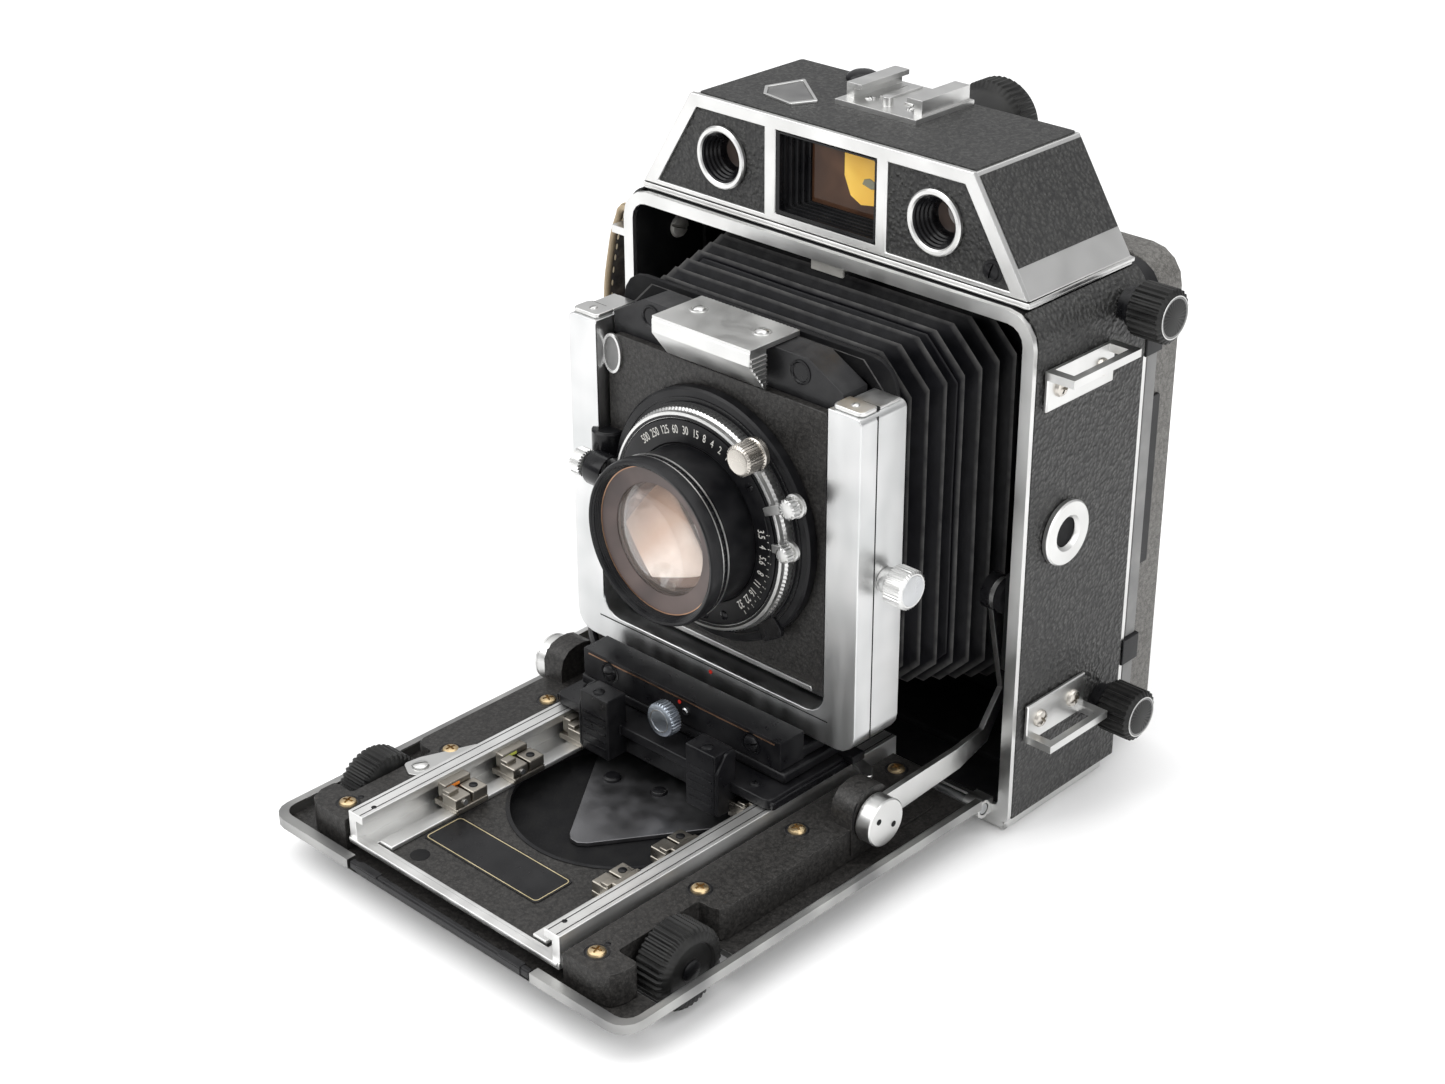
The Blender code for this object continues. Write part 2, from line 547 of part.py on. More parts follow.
def make_focusing():
    """Focusing shaft with its two knobs, and the platform of rails that it drives."""
    shaft = cylinder("focus_shaft", "X", (0, SHAFT_Y, SHAFT_Z), 1.5, 101.0, STEEL, 16)
    turning = [shaft]
    for side, label in ((1, "right"), (-1, "left")):
        centre = (side * 56.2, SHAFT_Y, SHAFT_Z)
        turning.append(cylinder("focus_knob_" + label, "X", centre, KNOB_RADIUS, 10.8, BLACK, 36))
    carry("focus_axis", (0, SHAFT_Y, SHAFT_Z), turning)

    strip = frame_outline(-39.6, 39.6, -157.4, -154.4)
    rails = slab("focusing_rails", "XY", RAIL_BOTTOM, 15.4, [strip], ALUMINIUM)
    for side in (-1, 1):
        section = [(32.2, RAIL_BOTTOM), (39.6, RAIL_BOTTOM), (39.6, RAIL_TOP), (34.1, RAIL_TOP),
                   (34.1, 20.8), (36.9, 20.8), (36.9, 15.0), (32.2, 15.0)]
        outline = [(side * x, z) for x, z in section]
        join(rails, slab("rail", "XZ", -157.0, -33.0, [outline]))
    join(rails, box("rear_strip", (-38, 38), (-36, -33), (RAIL_BOTTOM, 15.0)))
    plate = [frame_outline(-31.9, 31.9, -154.1, -36.3), circle(0, WELL_Y, 30.4, 48)]
    platform = slab("platform_plate", "XY", RAIL_BOTTOM + 0.1, PLATFORM_TOP, plate, HAMMERTONE)
    carry("focus_slide", (0, -95, RAIL_BOTTOM), [rails, platform])


def make_standard():
    """Front standard: carriage, shift and swing bases, chrome frame, lens frame and board."""
    sole = frame_outline(-39.8, 39.8, -84, -50, 2, 2, 2)
    carriage = slab("carriage", "XY", RAIL_TOP + GAP, 26.4, [sole], BLACK)
    join(carriage, box("carriage_tongue", (-33.2, 33.2), (-80, -52), (15.2, 24)))
    for side in (-1, 1):
        jaw_x = sorted((side * 14.5, side * 25.0))
        join(carriage, box("clamp_jaw", jaw_x, (-88.5, -81.5), (17.0, 35.4)))
    screw = cylinder("carriage_thumbscrew", "Y", (0, -81.4, THUMBSCREW_Z), 4.9, 4.4, CHROME, 24)
    join(screw, cylinder("thumbscrew_stem", "Y", (0, -79.5, THUMBSCREW_Z), 1.6, 1.4, sides=14))
    carry("thumbscrew_axis", (0, -80, THUMBSCREW_Z), [screw])
    carry("carriage_slide", (0, -67, RAIL_TOP), [carriage])

    shift = box("shift_base", (-38, 38), (-76, -49), (26.7, 30.0), BLACK, 0.5)
    carry("shift_slide", (0, -62, 28), [shift])
    swing = box("swing_base", (-36.5, 36.5), (-74.5, -45), (30.3, 33.5), BLACK, 0.4)
    join(swing, box("swing_nose", (-36.5, 36.5), (-76.0, -67.0), (30.3, 38.6)))
    for side in (-1, 1):
        ear_x = sorted((side * 28, side * 34))
        join(swing, box("tilt_ear", ear_x, (-45.6, -42.6), (30.3, 41)))
    carry("swing_axis", (0, -58, 31), [swing])

    u_outline = rounded([(-STANDARD_HALF, STANDARD_BOTTOM, 6), (STANDARD_HALF, STANDARD_BOTTOM, 6),
                         (STANDARD_HALF, STANDARD_TOP, 2), (COLUMN_INNER, STANDARD_TOP, 0),
                         (COLUMN_INNER, 43.3, 6), (-COLUMN_INNER, 43.3, 6), (-COLUMN_INNER, STANDARD_TOP, 0),
                         (-STANDARD_HALF, STANDARD_TOP, 2)])
    standard = slab("standard_frame", "XZ", STANDARD_FRONT, STANDARD_BACK, [u_outline], CHROME)
    cut(standard, cylinder("rise_bore", "X", (49, RISE_KNOB_Y, RISE_KNOB_Z), 1.9, 6, sides=14))
    rise_knob = cylinder("rise_knob", "X", (56.2, RISE_KNOB_Y, RISE_KNOB_Z), 5.3, 8.6, CHROME, 24)
    join(rise_knob, cylinder("rise_stem", "X", (50.6, RISE_KNOB_Y, RISE_KNOB_Z), 1.5, 4.0, sides=14))
    carry("tilt_axis", (0, TILT_Y, TILT_Z), [standard])
    carry("rise_knob_axis", (56, RISE_KNOB_Y, RISE_KNOB_Z), [rise_knob])

    outline = rounded([(-40, 43.9, 6), (40, 43.9, 6), (40, 131.4, 0), (28.5, 137.6, 0), (-28.5, 137.6, 0),
                       (-40, 131.4, 0)], 3)
    window = frame_outline(-33, 33, 54, 120, 2, 2, 1)
    lens_frame = slab("lens_frame", "XZ", -58.0, -49.0, [outline, window], BLACK)
    for side in (-1, 1):
        cut(lens_frame, cylinder("ear_hole", "Y", (side * 26, -56, 133.4), 2.4, 12, sides=16))
    board_outline = frame_outline(-39.6, 39.6, LENS_Z - 39.6, LENS_Z + 39.6, 4, 4)
    board_holes = [board_outline, circle(0, LENS_Z, 20.2, 32)]
    slab("lens_board", "XZ", -60.8, -58.0 - GAP, board_holes, HAMMERTONE)
    wedge = [(-67.2, 138.4), (-67.2, 134.6), (-61.8, 127.4), (-61.1, 127.4), (-61.1, 138.4)]
    latch = slab("board_latch", "YZ", -16.6, 17.4, [wedge], CHROME)
    join(latch, box("latch_top", (-16.6, 17.4), (-67.0, -48.8), (137.9, 139.3)))
    carry("board_latch_slide", (0, -58, 138), [latch])


def make_lens():
    """Shutter, speed ring, levers, barrel and front glass, all about the lens axis."""
    axis_point = (0, 0, LENS_Z)
    face = SHUTTER_FACE
    profile = [(15.0, face), (27.9, face), (27.9, -64.6), (35.0, -64.6), (35.0, -61.1),
               (19.8, -61.1), (19.8, -54.0), (15.0, -54.0)]
    turned("shutter", "Y", axis_point, [(r, -y) for r, y in profile], BLACK, 48)
    profile = [(28.2, -68.8), (30.7, -68.8), (30.7, -64.9), (28.2, -64.9)]
    ring = turned("speed_ring", "Y", axis_point, [(r, -y) for r, y in profile], CHROME, 48)
    join(ring, cylinder("speed_grip", "Y", (GRIP_X, -73.6, LENS_Z + GRIP_Z), 3.6, 8.0, sides=18))
    stem = 0.86
    join(ring, cylinder("speed_grip_stem", "Y", (GRIP_X * stem, -68.6, LENS_Z + GRIP_Z * stem), 1.2, 3, sides=12))
    join(ring, box("speed_grip_foot", (18.0, 22.6), (-70.6, -69.6), (LENS_Z + 21.6, LENS_Z + 28.6)))
    profile = [(18.6, -86.0), (22.6, -86.0), (22.6, -79.6), (21.4, -78.8), (21.4, face - GAP),
               (15.2, face - GAP), (15.2, -76.0), (18.6, -78.0)]
    turned("lens_barrel", "Y", axis_point, [(r, -y) for r, y in profile], BLACK, 48)
    profile = [(0.0, -84.2), (9.0, -83.6), (18.2, -81.4), (18.2, -79.2), (0.0, -79.2)]
    turned("front_glass", "Y", axis_point, [(r, -y) for r, y in profile], GLASS, 48, closed=False)
    for name, angle, reach, low_y, high_y in (("cocking_lever", 26, 41.5, -71.6, -70.2),
                                              ("aperture_lever", 7, 35.6, -71.6, -70.2)):
        turn = math.radians(angle)
        outline = []
        for along, across in ((23.2, -1.3), (reach, -1.3), (reach, 1.3), (23.2, 1.3)):
            outline.append((along * math.cos(turn) - across * math.sin(turn),
                            LENS_Z + along * math.sin(turn) + across * math.cos(turn)))
        lever = slab(name, "XZ", low_y, high_y, [outline], CHROME)
        tip = (reach - 1.5, (low_y + high_y) / 2 - 0.4)
        grip_place = (tip[0] * math.cos(turn), tip[1], LENS_Z + tip[0] * math.sin(turn))
        join(lever, cylinder("lever_grip", "Y", grip_place, 2.2, 4.6, sides=14))
        carry(name + "_axis", axis_point, [lever])
    plunger = cylinder("release_plunger", "X", (RELEASE_X, RELEASE_Y, RELEASE_Z), 3.9, 4.6, CHROME, 20)
    carry("speed_axis", axis_point, [ring])
    carry("release_slide", (RELEASE_X, RELEASE_Y, RELEASE_Z), [plunger])


clear_scene()
make_body()
make_brackets()
make_housing()
make_back()
make_strap()
make_bellows()
make_struts()
make_bed()
make_focusing()
make_standard()
make_lens()
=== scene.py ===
"""The visible pieces of the folding bed camera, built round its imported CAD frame.

Lengths are in millimetres and MM turns them into metres. The lens faces -Y, +X is to the right
of someone who faces it, and +Z is up.
"""
import math

import bmesh
import bpy
from mathutils import Matrix, Vector


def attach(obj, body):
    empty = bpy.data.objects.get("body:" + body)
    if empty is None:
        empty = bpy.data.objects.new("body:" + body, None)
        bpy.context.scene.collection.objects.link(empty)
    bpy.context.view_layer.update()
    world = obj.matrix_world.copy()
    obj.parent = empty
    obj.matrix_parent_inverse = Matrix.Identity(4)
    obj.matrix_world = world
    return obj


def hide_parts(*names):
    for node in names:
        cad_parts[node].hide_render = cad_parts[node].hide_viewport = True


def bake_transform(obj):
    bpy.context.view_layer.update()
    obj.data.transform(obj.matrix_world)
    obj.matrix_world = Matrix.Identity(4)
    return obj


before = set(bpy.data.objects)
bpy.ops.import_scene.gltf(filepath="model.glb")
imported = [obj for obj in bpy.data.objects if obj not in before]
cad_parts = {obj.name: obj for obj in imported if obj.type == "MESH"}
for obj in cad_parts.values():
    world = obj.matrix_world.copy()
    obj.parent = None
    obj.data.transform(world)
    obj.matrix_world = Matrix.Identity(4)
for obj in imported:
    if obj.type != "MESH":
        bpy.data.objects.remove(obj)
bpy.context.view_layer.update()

MM = 0.001
DULL = 0.22                         # specular level of paint, leather and cloth
SMOOTH_ANGLE = math.radians(32)     # flatter edges than this are shaded smooth
BEVEL_ANGLE = math.radians(38)      # sharper edges than this are rounded
SIDES = ((1, "right"), (-1, "left"))
OUTWARD = {1: "X", -1: "-X"}
INWARD = {1: "-X", -1: "X"}

# Places and levels on the object.
BRACKET_FACE = 72.9
INNER_SCREW_X = 67.3
BUSH_X, BUSH_Y, BUSH_Z = 72.6, -7.3, 86.4
HOUSING_FRONT = -21.4
WINDOW_X, WINDOW_Z = 36.4, 164.8
ADJUSTER_X, ADJUSTER_Z = 54.6, 156.6
EYEPIECE = (8, 30.8, 169.8)
HOUSING_FOOT_X, HOUSING_FOOT_Z = 65.65, 150.9
SHOE_TOP = 181.55
BACK_KNOB_X, BACK_KNOB_Y = 79.4, 13.6
BED_FLOOR = 10.0
COVER_TOP = 19.55
STRUT_FOOT_X, STRUT_FOOT_Y, STRUT_FOOT_Z = 60.2, -64.5, 21.0
STRUT_TOP_X, STRUT_TOP_Y, STRUT_TOP_Z = 61.4, -18.5, 69.0
FOCUS_KNOB_X, FOCUS_KNOB_Y, FOCUS_KNOB_Z = 56.2, -134.0, 11.7
WELL_Y = -97
STOP_X = 30.0
STOP_FOOT_TOP = 17.6
THUMBSCREW = (0, -81.4, 33.6)
NOSE_X, NOSE_Y, NOSE_Z = 26.3, -76.0, 34.6
EAR_X, EAR_Z = 26, 133.4
RISE_KNOB_Y, RISE_KNOB_Z = -54, 83.4
LATCH_SCREW_Y, LATCH_TOP = -56, 139.3
OVAL_X, OVAL_Z = -37.6, 121.0
BOARD_FRONT = -60.7
LENS_Z = 87.0
SHUTTER_FACE = -69.5
NUMERAL_Y = SHUTTER_FACE + 0.03
RELEASE_Y, RELEASE_Z = -68.5, 90.4
SYNC_SOCKET = (-39.4, -61.6, 97.2)
IRIS_RADIUS = 12.4
STRAP_Y = -5.0
OBJECT_MIDDLE = (0, -40, 80)

# Turns that lay Z along an axis, and that stand an outline's plane up.
AXIS_TURN = {
    "X": Matrix.Rotation(math.pi / 2, 4, "Y"),
    "-X": Matrix.Rotation(-math.pi / 2, 4, "Y"),
    "Y": Matrix.Rotation(-math.pi / 2, 4, "X"),
    "-Y": Matrix.Rotation(math.pi / 2, 4, "X"),
    "Z": Matrix.Identity(4),
    "-Z": Matrix.Rotation(math.pi, 4, "X"),
}
PLANE_TURN = {
    "XY": Matrix.Identity(4),
    "XZ": Matrix(((1, 0, 0, 0), (0, 0, -1, 0), (0, 1, 0, 0), (0, 0, 0, 1))),
    "YZ": Matrix(((0, 0, 1, 0), (1, 0, 0, 0), (0, 1, 0, 0), (0, 0, 0, 1))),
}


class Look:
    """A procedural material whose textures are laid out in millimetres of the object's own space."""

    def __init__(self, name, roughness=0.5, metallic=0.0, **sockets):
        self.made = bpy.data.materials.new(name)
        self.made.use_nodes = True
        self.tree = self.made.node_tree
        self.shader = self.tree.nodes["Principled BSDF"]
        self.shader.inputs["Roughness"].default_value = roughness
        self.shader.inputs["Metallic"].default_value = metallic
        for socket, value in sockets.items():
            self.shader.inputs[socket.replace("_", " ")].default_value = value
        self.place = self.tree.nodes.new("ShaderNodeTexCoord").outputs["Object"]

    def link(self, source, node, socket):
        self.tree.links.new(source, node.inputs[socket])

    def space(self, stretch=(1, 1, 1)):
        """Object coordinates in millimetres, stretched along the axes."""
        mapping = self.tree.nodes.new("ShaderNodeMapping")
        mapping.inputs["Scale"].default_value = [1.0 / MM / s for s in stretch]
        self.link(self.place, mapping, "Vector")
        return mapping.outputs["Vector"]

    def noise(self, size, detail=3.0, stretch=(1, 1, 1), distortion=0.0):
        """Noise whose features are about size millimetres across."""
        node = self.tree.nodes.new("ShaderNodeTexNoise")
        node.inputs["Scale"].default_value = 1.0 / size
        node.inputs["Detail"].default_value = detail
        node.inputs["Distortion"].default_value = distortion
        self.link(self.space(stretch), node, "Vector")
        return node.outputs["Fac"]

    def cells(self, size, wobble):
        """Distance inside cells about size millimetres across, with wobbly borders."""
        node = self.tree.nodes.new("ShaderNodeTexVoronoi")
        node.feature = "SMOOTH_F1"
        node.inputs["Scale"].default_value = 1.0 / size
        source = self.space()
        warp = self.tree.nodes.new("ShaderNodeTexNoise")
        warp.inputs["Scale"].default_value = 0.8 / size
        self.link(source, warp, "Vector")
        shift = self.tree.nodes.new("ShaderNodeVectorMath")
        shift.operation = "MULTIPLY_ADD"
        shift.inputs[1].default_value = (wobble,) * 3
        self.link(warp.outputs["Color"], shift, 0)
        self.link(source, shift, 2)
        self.link(shift.outputs["Vector"], node, "Vector")
        return node.outputs["Distance"]

    def ramp(self, source, *stops):
        """Colours or greys by position along the source."""
        node = self.tree.nodes.new("ShaderNodeValToRGB")
        elements = node.color_ramp.elements
        while len(elements) < len(stops):
            elements.new(0.5)
        for element, (position, value) in zip(elements, stops):
            element.position = position
            element.color = (*value, 1.0) if isinstance(value, tuple) else (value, value, value, 1.0)
        self.link(source, node, "Fac")
        return node.outputs["Color"]

    def mix(self, share, first, second, mode="MIX"):
        """Second over first where share is high; each is a socket or a colour."""
        node = self.tree.nodes.new("ShaderNodeMix")
        node.data_type = "RGBA"
        node.blend_type = mode
        for socket, value in ((0, share), (6, first), (7, second)):
            if isinstance(value, bpy.types.NodeSocket):
                self.tree.links.new(value, node.inputs[socket])
            elif socket == 0:
                node.inputs[0].default_value = value
            else:
                node.inputs[socket].default_value = (*value, 1.0)
        return node.outputs[2]

    def colour(self, source):
        self.link(source, self.shader, "Base Color")

    def rough(self, source):
        self.link(source, self.shader, "Roughness")

    def bump(self, source, height, strength=1.0):
        """Relief of some height in millimetres; later calls add to earlier ones."""
        node = self.tree.nodes.new("ShaderNodeBump")
        node.inputs["Distance"].default_value = height * MM
        node.inputs["Strength"].default_value = strength
        self.link(source, node, "Height")
        earlier = self.shader.inputs["Normal"].links
        if earlier:
            self.tree.links.new(earlier[0].from_socket, node.inputs["Normal"])
        self.link(node.outputs["Normal"], self.shader, "Normal")

    def attribute(self, name):
        node = self.tree.nodes.new("ShaderNodeAttribute")
        node.attribute_name = name
        return node.outputs["Fac"]


def metal(name, dark, light, rough_low, rough_high, stretch=(1, 1, 1), grain=0.003):
    """Bare or plated metal: blotches of tone, varied gloss and a fine grain."""
    look = Look(name, metallic=1.0)
    look.colour(look.ramp(look.noise(14.0, 1.0), (0.3, dark), (0.7, light)))
    look.rough(look.ramp(look.noise(5.0, 1.5, stretch), (0.3, rough_low), (0.72, rough_high)))
    look.bump(look.noise(0.6, 1.0, stretch), grain, 0.08)
    return look.made


def paint(name, dark, light, rough_low, rough_high, grain=0.015, size=0.5, metallic=0.0):
    """Smooth paint or moulded plastic with dust, faint wear and orange peel."""
    look = Look(name, metallic=metallic, Specular_IOR_Level=DULL)
    look.colour(look.ramp(look.noise(6.0, 6.0), (0.35, dark), (0.75, light)))
    look.rough(look.ramp(look.noise(3.0, 4.0), (0.3, rough_low), (0.7, rough_high)))
    look.bump(look.noise(size, 2.0), grain, 0.8)
    return look.made


def leather(name, size, height, dark, light, rough_low, rough_high):
    """Pebbled leather: rounded grains between creases, a painted highlight on each grain's top, and
    patches rubbed lighter.
    """
    look = Look(name, Specular_IOR_Level=0.5)
    grain = look.cells(size, wobble=0.55)
    # painted highlight: each grain's top is coloured lighter than its creases
    painted_highlight_tops = look.ramp(grain, (0.1, light), (0.55, dark))
    worn = look.ramp(look.noise(11.0, 5.0), (0.45, 0.0), (0.8, 0.2))
    look.colour(look.mix(worn, painted_highlight_tops, tuple(1.5 * c for c in light)))
    look.rough(look.ramp(grain, (0.05, rough_low), (0.5, rough_high)))
    look.bump(look.ramp(grain, (0.0, 1.0), (0.75, 0.0)), height)
    look.bump(look.noise(size * 0.3, 3.0), height * 0.15)
    return look.made


def hammered(name, dark, light, size=0.95, height=0.1):
    """Hammertone paint: shallow dimples with glints of metal flake."""
    look = Look(name, metallic=0.15, Specular_IOR_Level=0.4)
    dents = look.cells(size, wobble=0.7)
    flake = look.ramp(look.noise(0.35, 3.0), (0.45, 0.0), (0.75, 0.6))
    tone = look.ramp(dents, (0.05, light), (0.6, dark))
    look.colour(look.mix(flake, tone, tuple(1.7 * c for c in light)))
    look.rough(look.ramp(look.noise(1.3, 4.0), (0.3, 0.36), (0.7, 0.56)))
    look.bump(dents, height)
    look.bump(look.noise(0.3, 3.0), height * 0.3)
    return look.made


def glass(name, tint, deep, roughness=0.03, transmission=0.0, coat=0.6, shine=0.5):
    """Coated glass: tone shifts over the surface under a clear coat."""
    look = Look(name, IOR=1.52, Transmission_Weight=transmission, Coat_Weight=coat, Coat_Roughness=0.02,
        Specular_IOR_Level=shine)
    look.colour(look.ramp(look.noise(16.0, 2.0, distortion=0.6), (0.35, deep), (0.7, tint)))
    look.rough(look.ramp(look.noise(2.0, 3.0), (0.3, roughness), (0.8, roughness + 0.03)))
    return look.made


CHROME = metal("satin_chrome", (0.60, 0.60, 0.59), (0.70, 0.70, 0.69), 0.28, 0.38)
CHROME_UPRIGHT = metal("satin_chrome_upright", (0.56, 0.57, 0.57), (0.68, 0.68, 0.68), 0.28, 0.40,
    (1, 1, 9))
NICKEL = metal("nickel", (0.46, 0.43, 0.39), (0.66, 0.63, 0.58), 0.22, 0.34, grain=0.006)
BRASS = metal("worn_brass", (0.42, 0.31, 0.17), (0.66, 0.52, 0.32), 0.28, 0.45, grain=0.006)
STOP_NICKEL = metal("dull_nickel", (0.26, 0.24, 0.21), (0.44, 0.41, 0.36), 0.26, 0.42)
CAM_STEEL = metal("cam_steel", (0.14, 0.14, 0.145), (0.26, 0.26, 0.27), 0.34, 0.5)
STEEL = metal("steel", (0.42, 0.43, 0.44), (0.6, 0.61, 0.62), 0.24, 0.38, (6, 1, 1))
BLUED = metal("blued_steel", (0.33, 0.37, 0.42), (0.50, 0.54, 0.60), 0.3, 0.42, (1, 1, 5))
RAIL = metal("rail_aluminium", (0.64, 0.64, 0.63), (0.82, 0.82, 0.81), 0.34, 0.5, (1, 12, 1), 0.005)
LIP = metal("tray_aluminium", (0.20, 0.20, 0.20), (0.42, 0.42, 0.41), 0.34, 0.52, (9, 9, 1), 0.006)
BLACK = paint("black_metal", (0.005, 0.005, 0.006), (0.015, 0.015, 0.016), 0.26, 0.42)
GLOSS = paint("gloss_black", (0.004, 0.004, 0.005), (0.012, 0.012, 0.013), 0.14, 0.3)
RIBBED = paint("ribbed_black", (0.008, 0.008, 0.008), (0.022, 0.022, 0.021), 0.34, 0.52, 0.03, 0.3)
MATT = paint("matt_black", (0.003, 0.003, 0.004), (0.010, 0.010, 0.010), 0.6, 0.8, 0.03, 0.4)
GREY = paint("grey_face", (0.17, 0.17, 0.17), (0.24, 0.24, 0.235), 0.4, 0.55, 0.02, 0.4, 0.1)
# Black raised towards grey in its colour: a painted sheen for the lens frame.
PAINTED_SHEEN_BLACK = paint("painted_sheen_black", (0.014, 0.014, 0.015), (0.030, 0.030, 0.031), 0.28, 0.42)
# Pale paint in place of bare metal: a painted reflection for the bright inner screws and the catch tab.
PAINTED_REFLECTION_METAL = paint("painted_reflection_metal", (0.46, 0.45, 0.42), (0.62, 0.61, 0.57), 0.35, 0.5, metallic=0.3)
WHITE = paint("white_fill", (0.62, 0.61, 0.57), (0.85, 0.84, 0.80), 0.5, 0.65)
GOLD = paint("gold_line", (0.50, 0.42, 0.24), (0.72, 0.62, 0.40), 0.35, 0.5, metallic=0.6)
RED = paint("red_fill", (0.45, 0.02, 0.015), (0.70, 0.04, 0.02), 0.4, 0.55)
ORANGE = paint("orange_fill", (0.60, 0.16, 0.02), (0.85, 0.30, 0.05), 0.4, 0.55)
LIME = paint("lime_fill", (0.34, 0.38, 0.05), (0.52, 0.56, 0.12), 0.4, 0.55)
BLUE = paint("blue_fill", (0.02, 0.20, 0.30), (0.05, 0.36, 0.50), 0.4, 0.55)
LEATHER = leather("pebbled_leather", 1.05, 0.55, (0.010, 0.010, 0.010), (0.030, 0.030, 0.028), 0.34, 0.52)
HAMMERTONE = hammered("hammertone", (0.010, 0.0095, 0.009), (0.036, 0.034, 0.032))
HAMMERTONE_HOOD = hammered("hammertone_hood", (0.070, 0.067, 0.062), (0.150, 0.145, 0.136), 1.1, 0.08)
FROSTED = paint("frosted_glass", (0.58, 0.60, 0.58), (0.74, 0.76, 0.74), 0.5, 0.7, 0.02, 0.15)
AMBER = glass("amber_pane", (0.22, 0.12, 0.05), (0.10, 0.05, 0.02), coat=0.1, shine=0.12)
BROWN_GLASS = glass("brown_pane", (0.105, 0.050, 0.026), (0.04, 0.018, 0.010), coat=0.1, shine=0.12)
YELLOW = glass("yellow_patch", (1.0, 0.66, 0.10), (0.86, 0.48, 0.05), coat=0.2, shine=0.2)
OLIVE = glass("olive_patch", (0.20, 0.18, 0.03), (0.08, 0.08, 0.015), coat=1.0)
WINDOW_GLASS = glass("window_glass", (0.10, 0.075, 0.065), (0.03, 0.022, 0.02), coat=1.0)
LENS_FRONT = glass("lens_front", (0.96, 0.90, 0.86), (0.88, 0.78, 0.72), 0.0, 0.93, 0.4)
LENS_INNER = glass("lens_inner", (0.30, 0.20, 0.16), (0.14, 0.09, 0.08), 0.04, coat=0.5)
ANNULUS = glass("lens_annulus", (0.130, 0.098, 0.090), (0.075, 0.058, 0.055), 0.3, coat=0.1, shine=0.2)
PALE_GREY = paint("pale_grey", (0.10, 0.10, 0.10), (0.15, 0.15, 0.148), 0.4, 0.55)
SATIN = paint("satin_black", (0.005, 0.005, 0.006), (0.014, 0.014, 0.015), 0.28, 0.42, 0.01, 0.3)
COPPER = metal("copper_line", (0.34, 0.19, 0.12), (0.55, 0.34, 0.22), 0.3, 0.45)
THREAD = paint("beige_thread", (0.42, 0.35, 0.24), (0.66, 0.57, 0.42), 0.7, 0.9, 0.04, 0.2)


def bellows_cloth():
    """Coated black cloth with a fine weave, worn grey along the folds."""
    look = Look("bellows_cloth", Specular_IOR_Level=DULL)
    base = look.ramp(look.noise(5.0, 5.0), (0.3, (0.002, 0.002, 0.003)), (0.75, (0.006, 0.006, 0.008)))
    rubbed = look.ramp(look.noise(4.0, 3.0), (0.3, 0.3), (0.7, 0.8))
    share = look.mix(1.0, look.attribute("wear"), rubbed, "MULTIPLY")
    look.colour(look.mix(share, base, (0.12, 0.118, 0.115)))
    look.rough(look.ramp(look.noise(3.0, 4.0), (0.3, 0.42), (0.7, 0.6)))
    look.bump(look.noise(0.3, 2.0, (1, 1, 3)), 0.012)
    look.bump(look.noise(5.0, 3.0), 0.08)
    return look.made


def strap_leather():
    """Worn dark leather with a beige raw edge."""
    look = Look("strap_leather", Specular_IOR_Level=DULL)
    base = look.ramp(look.noise(3.5, 6.0), (0.3, (0.018, 0.014, 0.012)), (0.8, (0.085, 0.066, 0.052)))
    look.colour(look.mix(look.attribute("wear"), base, (0.34, 0.27, 0.18)))
    look.rough(look.ramp(look.noise(2.0, 5.0), (0.3, 0.42), (0.75, 0.68)))
    look.bump(look.cells(0.7, wobble=0.6), 0.08)
    look.bump(look.noise(4.0, 4.0), 0.3)
    return look.made


def iris_light():
    """Light through the lens: tan at the upper left, white at the lower right."""
    look = Look("iris_light", roughness=0.3, Specular_IOR_Level=DULL)
    mapping = look.tree.nodes.new("ShaderNodeMapping")
    span = 0.026
    mapping.inputs["Rotation"].default_value = (0, math.radians(-40), 0)
    mapping.inputs["Scale"].default_value = (1 / span,) * 3
    mapping.inputs["Location"].default_value = (0.5 + LENS_Z * MM / span * math.sin(math.radians(40)), 0,
        0)
    look.link(look.place, mapping, "Vector")
    slope = look.tree.nodes.new("ShaderNodeTexGradient")
    look.link(mapping.outputs["Vector"], slope, "Vector")
    tone = look.ramp(slope.outputs["Fac"], (0.15, (0.22, 0.145, 0.10)), (0.45, (0.60, 0.45, 0.35)),
        (0.66, (1.0, 0.98, 0.95)))
    look.colour(look.mix(look.ramp(look.noise(6.0, 2.0), (0.4, 0.0), (0.7, 0.35)), tone,
        (0.5, 0.38, 0.30)))
    look.link(tone, look.shader, "Emission Color")
    look.shader.inputs["Emission Strength"].default_value = 0.45
    return look.made


BELLOWS = bellows_cloth()
IRIS_LIGHT = iris_light()
STRAP = strap_leather()


def place_object(name, mesh, material, body, matrix=None):
    """Link a mesh, give it its material and let it ride on its body."""
    made = bpy.data.objects.new(name, mesh)
    bpy.context.scene.collection.objects.link(made)
    if material is not None:
        mesh.materials.clear()
        mesh.materials.append(material)
    if matrix is not None:
        made.matrix_world = matrix
    if body:
        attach(made, body)
    return made


def to_mesh(shape, name, angle=SMOOTH_ANGLE):
    """A bmesh becomes a mesh with round faces shaded smooth."""
    bmesh.ops.recalc_face_normals(shape, faces=shape.faces)
    mesh = bpy.data.meshes.new(name)
    shape.to_mesh(mesh)
    shape.free()
    mesh.shade_smooth()
    mesh.set_sharp_from_angle(angle=angle)
    return mesh


def round_edges(made, width, segments=2):
    """Round the sharp edges by a width in millimetres."""
    bevel = made.modifiers.new("edges", "BEVEL")
    bevel.width = width * MM
    bevel.segments = segments
    bevel.limit_method = "ANGLE"
    bevel.angle_limit = BEVEL_ANGLE
    made.modifiers.new("normals", "WEIGHTED_NORMAL").keep_sharp = False


def soften(made, width):
    """Round a new piece's edges and let the shading run over them."""
    round_edges(made, width)
    made.data.set_sharp_from_angle(angle=math.pi)
    return made


